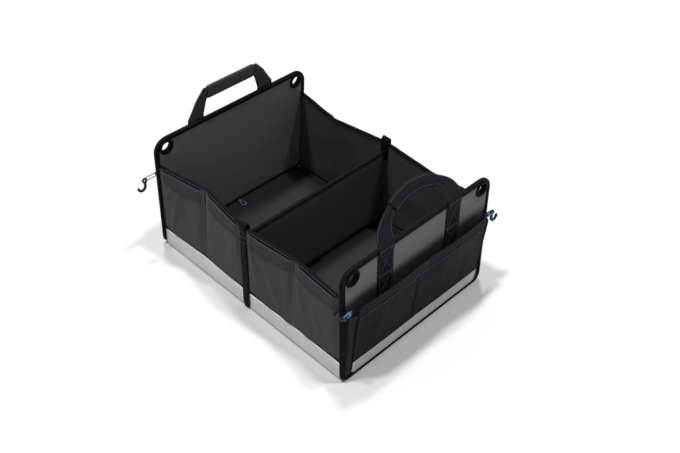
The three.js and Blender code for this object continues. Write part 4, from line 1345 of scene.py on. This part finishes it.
def divider():
    """Cloth cover of the divider, with a bound upper edge."""
    low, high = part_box("divider_cover")
    half = high.x
    y = np.linspace(low.y, high.y, 60)[:, None]
    right = [(half, z) for z in np.linspace(low.z + 0.02, high.z - 0.02, 9)]
    right = [(half, low.z + 0.0015)] + right + [(half - 0.0002, high.z - 0.004)]
    right += [(half - 0.0012, high.z - 0.0012), (half * 0.3, high.z)]
    foot = [(-half + 0.0015, low.z), (half - 0.0015, low.z)]
    x, z = np.array(foot + right + mirrored(right[1:]) + [(-half, low.z + 0.0015)]).T[:, None]
    calm = ease(np.minimum(z - low.z, high.z - z), 0.01, 0.05) * ease(high.y - np.abs(y), 0.0, 0.02)
    x = x - np.sign(x) * np.abs(waves(y, z, 23, 0.12, 0.0004)) * calm
    obj = sweep("divider_cloth_cover", xyz(x, y, z))
    finish_piece(obj, "divider", "divider_cover")

    foot, wide = high.z - 0.006, half + 0.0006
    right = [(wide - 0.0002, foot), (wide, foot + 0.002), (wide, high.z - 0.003), (wide - 0.0010, high.z)]
    right += [(half * 0.4, high.z + 0.0009)]
    cavity = [(half * 0.5, high.z - 0.002), (half - 0.0002, foot)]
    x, z = np.array(right + mirrored(right) + mirrored(cavity) + cavity).T[:, None]
    obj = sweep("divider_tape", xyz(x, y, z))
    finish_piece(obj, "tape")
    y = np.linspace(low.y + 0.003, high.y - 0.003, 80)
    for way in (-1, 1):
        sew("dark", xyz(way * (wide + 0.0001), y, foot + 0.002), [way, 0, 0], **TAPE_SEAM)


def bottom():
    low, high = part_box("bottom_panel")
    layers = (
        (0.00325, 0.0),
        (0.0008, 0.0001),
        (0.0, 0.0009),
        (0.0, high.z - 0.0006),
        (0.0006, high.z),
        (0.0039, high.z),
    )
    rings = [box_ring(low, high, BOTTOM_CORNER, z, inset) for inset, z in layers]
    finish_piece(sweep("bottom_cloth_panel", rings), "under", "bottom_panel")
    low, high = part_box("floor_tab")
    middle, half, thick = (low.x + high.x) / 2, (high.x - low.x) / 2, high.z - low.z
    section = ((-1, 0.05), (-1, 0.8), (-0.8, 1), (0.8, 1), (1, 0.8), (1, 0.05))
    rings = []
    for y in np.linspace(low.y, high.y, 24):
        lift = 0.0001 * math.sin(y * 300)
        rings.append([(middle + half * u, y, low.z + thick * v + lift) for u, v in section])
    finish_piece(sweep("floor_tab_tape", rings), "tape", "floor_tab")


def bar_tacks():
    """Pale bar tacks where the floor's seam meets the corners of the compartments."""
    for x_sign in (-1, 1):
        for y_sign in (-1, 1):
            for x in (0.2555, 0.0075):
                for z in 0.0034 + 0.0006 * np.arange(4):
                    base = np.array([x_sign * x, y_sign * 0.1835, z])
                    path = [base - [0.002, 0, 0], base + [0.002, 0, 0]]
                    sew("pale", path, [0, -y_sign, 0.4], pitch=0.004, length=0.0036, width=0.0007)


# Light and floor. A white world and three lamps light the part; the floor shows paler than it lights
WORLD_LEVEL = 0.29
FLOOR_SHADES = (0.70, 0.71)
FLOOR_LIT = 0.28
FLOOR_SIZE = 6.0
FLOOR_DROP = 0.0002
LAMP_ANGLE = 5


def sun(name, azimuth, elevation, level):
    """A distant lamp. Its level is the share of a written colour that it shows on a face turned to it."""
    data = bpy.data.lights.new(name, "SUN")
    data.angle = math.radians(LAMP_ANGLE)
    data.energy = level * math.pi
    obj = bpy.data.objects.new(name, data)
    a, e = math.radians(azimuth), math.radians(elevation)
    place = Vector((math.cos(a) * math.cos(e), math.sin(a) * math.cos(e), math.sin(e)))
    obj.location = place * 3
    obj.rotation_mode = "QUATERNION"
    obj.rotation_quaternion = place.to_track_quat("Z", "Y")
    bpy.context.scene.collection.objects.link(obj)


def light_mix(tree, lit, shown):
    """Shows one shader to the camera, to gloss and through glass, and lights with another."""
    rays = tree.nodes.new("ShaderNodeLightPath").outputs
    total = math_node(tree, "MAXIMUM", rays["Is Camera Ray"], rays["Is Glossy Ray"])
    total = math_node(tree, "MAXIMUM", total, rays["Is Transmission Ray"])
    mixed = tree.nodes.new("ShaderNodeMixShader")
    for source, socket in zip((total, lit.outputs[0], shown.outputs[0]), mixed.inputs):
        tree.links.new(source, socket)
    return mixed.outputs[0]


def make_world():
    world = bpy.data.worlds.new("studio")
    bpy.context.scene.world = world
    world.use_nodes = True
    tree = world.node_tree
    lit, shown = tree.nodes["Background"], tree.nodes.new("ShaderNodeBackground")
    for background, level in ((lit, WORLD_LEVEL), (shown, 1.0)):
        set_inputs(tree, background, Color=(1, 1, 1, 1), Strength=level)
    set_inputs(tree, tree.nodes["World Output"], Surface=light_mix(tree, lit, shown))


def make_floor():
    corners = [(x * FLOOR_SIZE, y * FLOOR_SIZE, 0) for x, y in ((-1, -1), (1, -1), (1, 1), (-1, 1))]
    floor = add_mesh("studio_floor", corners, [(0, 1, 2, 3)])
    floor.location.z = -FLOOR_DROP
    material, tree, shader = new_material("floor_white")
    grain = noise(tree, node(tree, "ShaderNodeTexCoord").outputs["Object"], 0.5, Detail=2.0)
    shade = shades(tree, grain, (1, 1, 1), *FLOOR_SHADES)
    set_inputs(tree, shader, Base_Color=shade, Roughness=1.0, Specular_IOR_Level=0.0)
    lit = node(tree, "ShaderNodeBsdfDiffuse", Color=(FLOOR_LIT, FLOOR_LIT, FLOOR_LIT, 1))
    set_inputs(tree, tree.nodes["Material Output"], Surface=light_mix(tree, lit, shader))
    floor.data.materials.append(material)


make_world()
make_floor()
sun("near_left", azimuth=-122, elevation=74, level=0.54)
sun("far_left", azimuth=143, elevation=75, level=0.34)
sun("far_right", azimuth=48, elevation=74, level=0.34)
bpy.context.scene.view_settings.view_transform = "Standard"

make_cords()
make_pull_loops()
for end_sign in LETTERS:
    # The outer sheets carry the painted shade under the end pockets
    end_sheet(end_sign, "outer_sheet", 0.0044, 0.0052, "sheet", 3)
    end_sheet(end_sign, "lining", 0.0008, 0.0, "lining_end", 8)
    end_binding(end_sign)
    for eyelet_side in SIDES:
        eyelet_ring(end_sign, eyelet_side)
    end_pocket(end_sign)
    end_band(end_sign)
upright_handle(-1)
soft_handle()
for wall_side in SIDES:
    side_wall(wall_side)
    side_pockets(wall_side)
    side_strap(wall_side)
divider()
floor_boards()
bottom()
bar_tacks()
make_stitches()

for cad_name, cad_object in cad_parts.items():
    if not cad_object.hide_render:
        cad_object.data.materials.clear()
        cad_object.data.materials.append(MAT["core"])
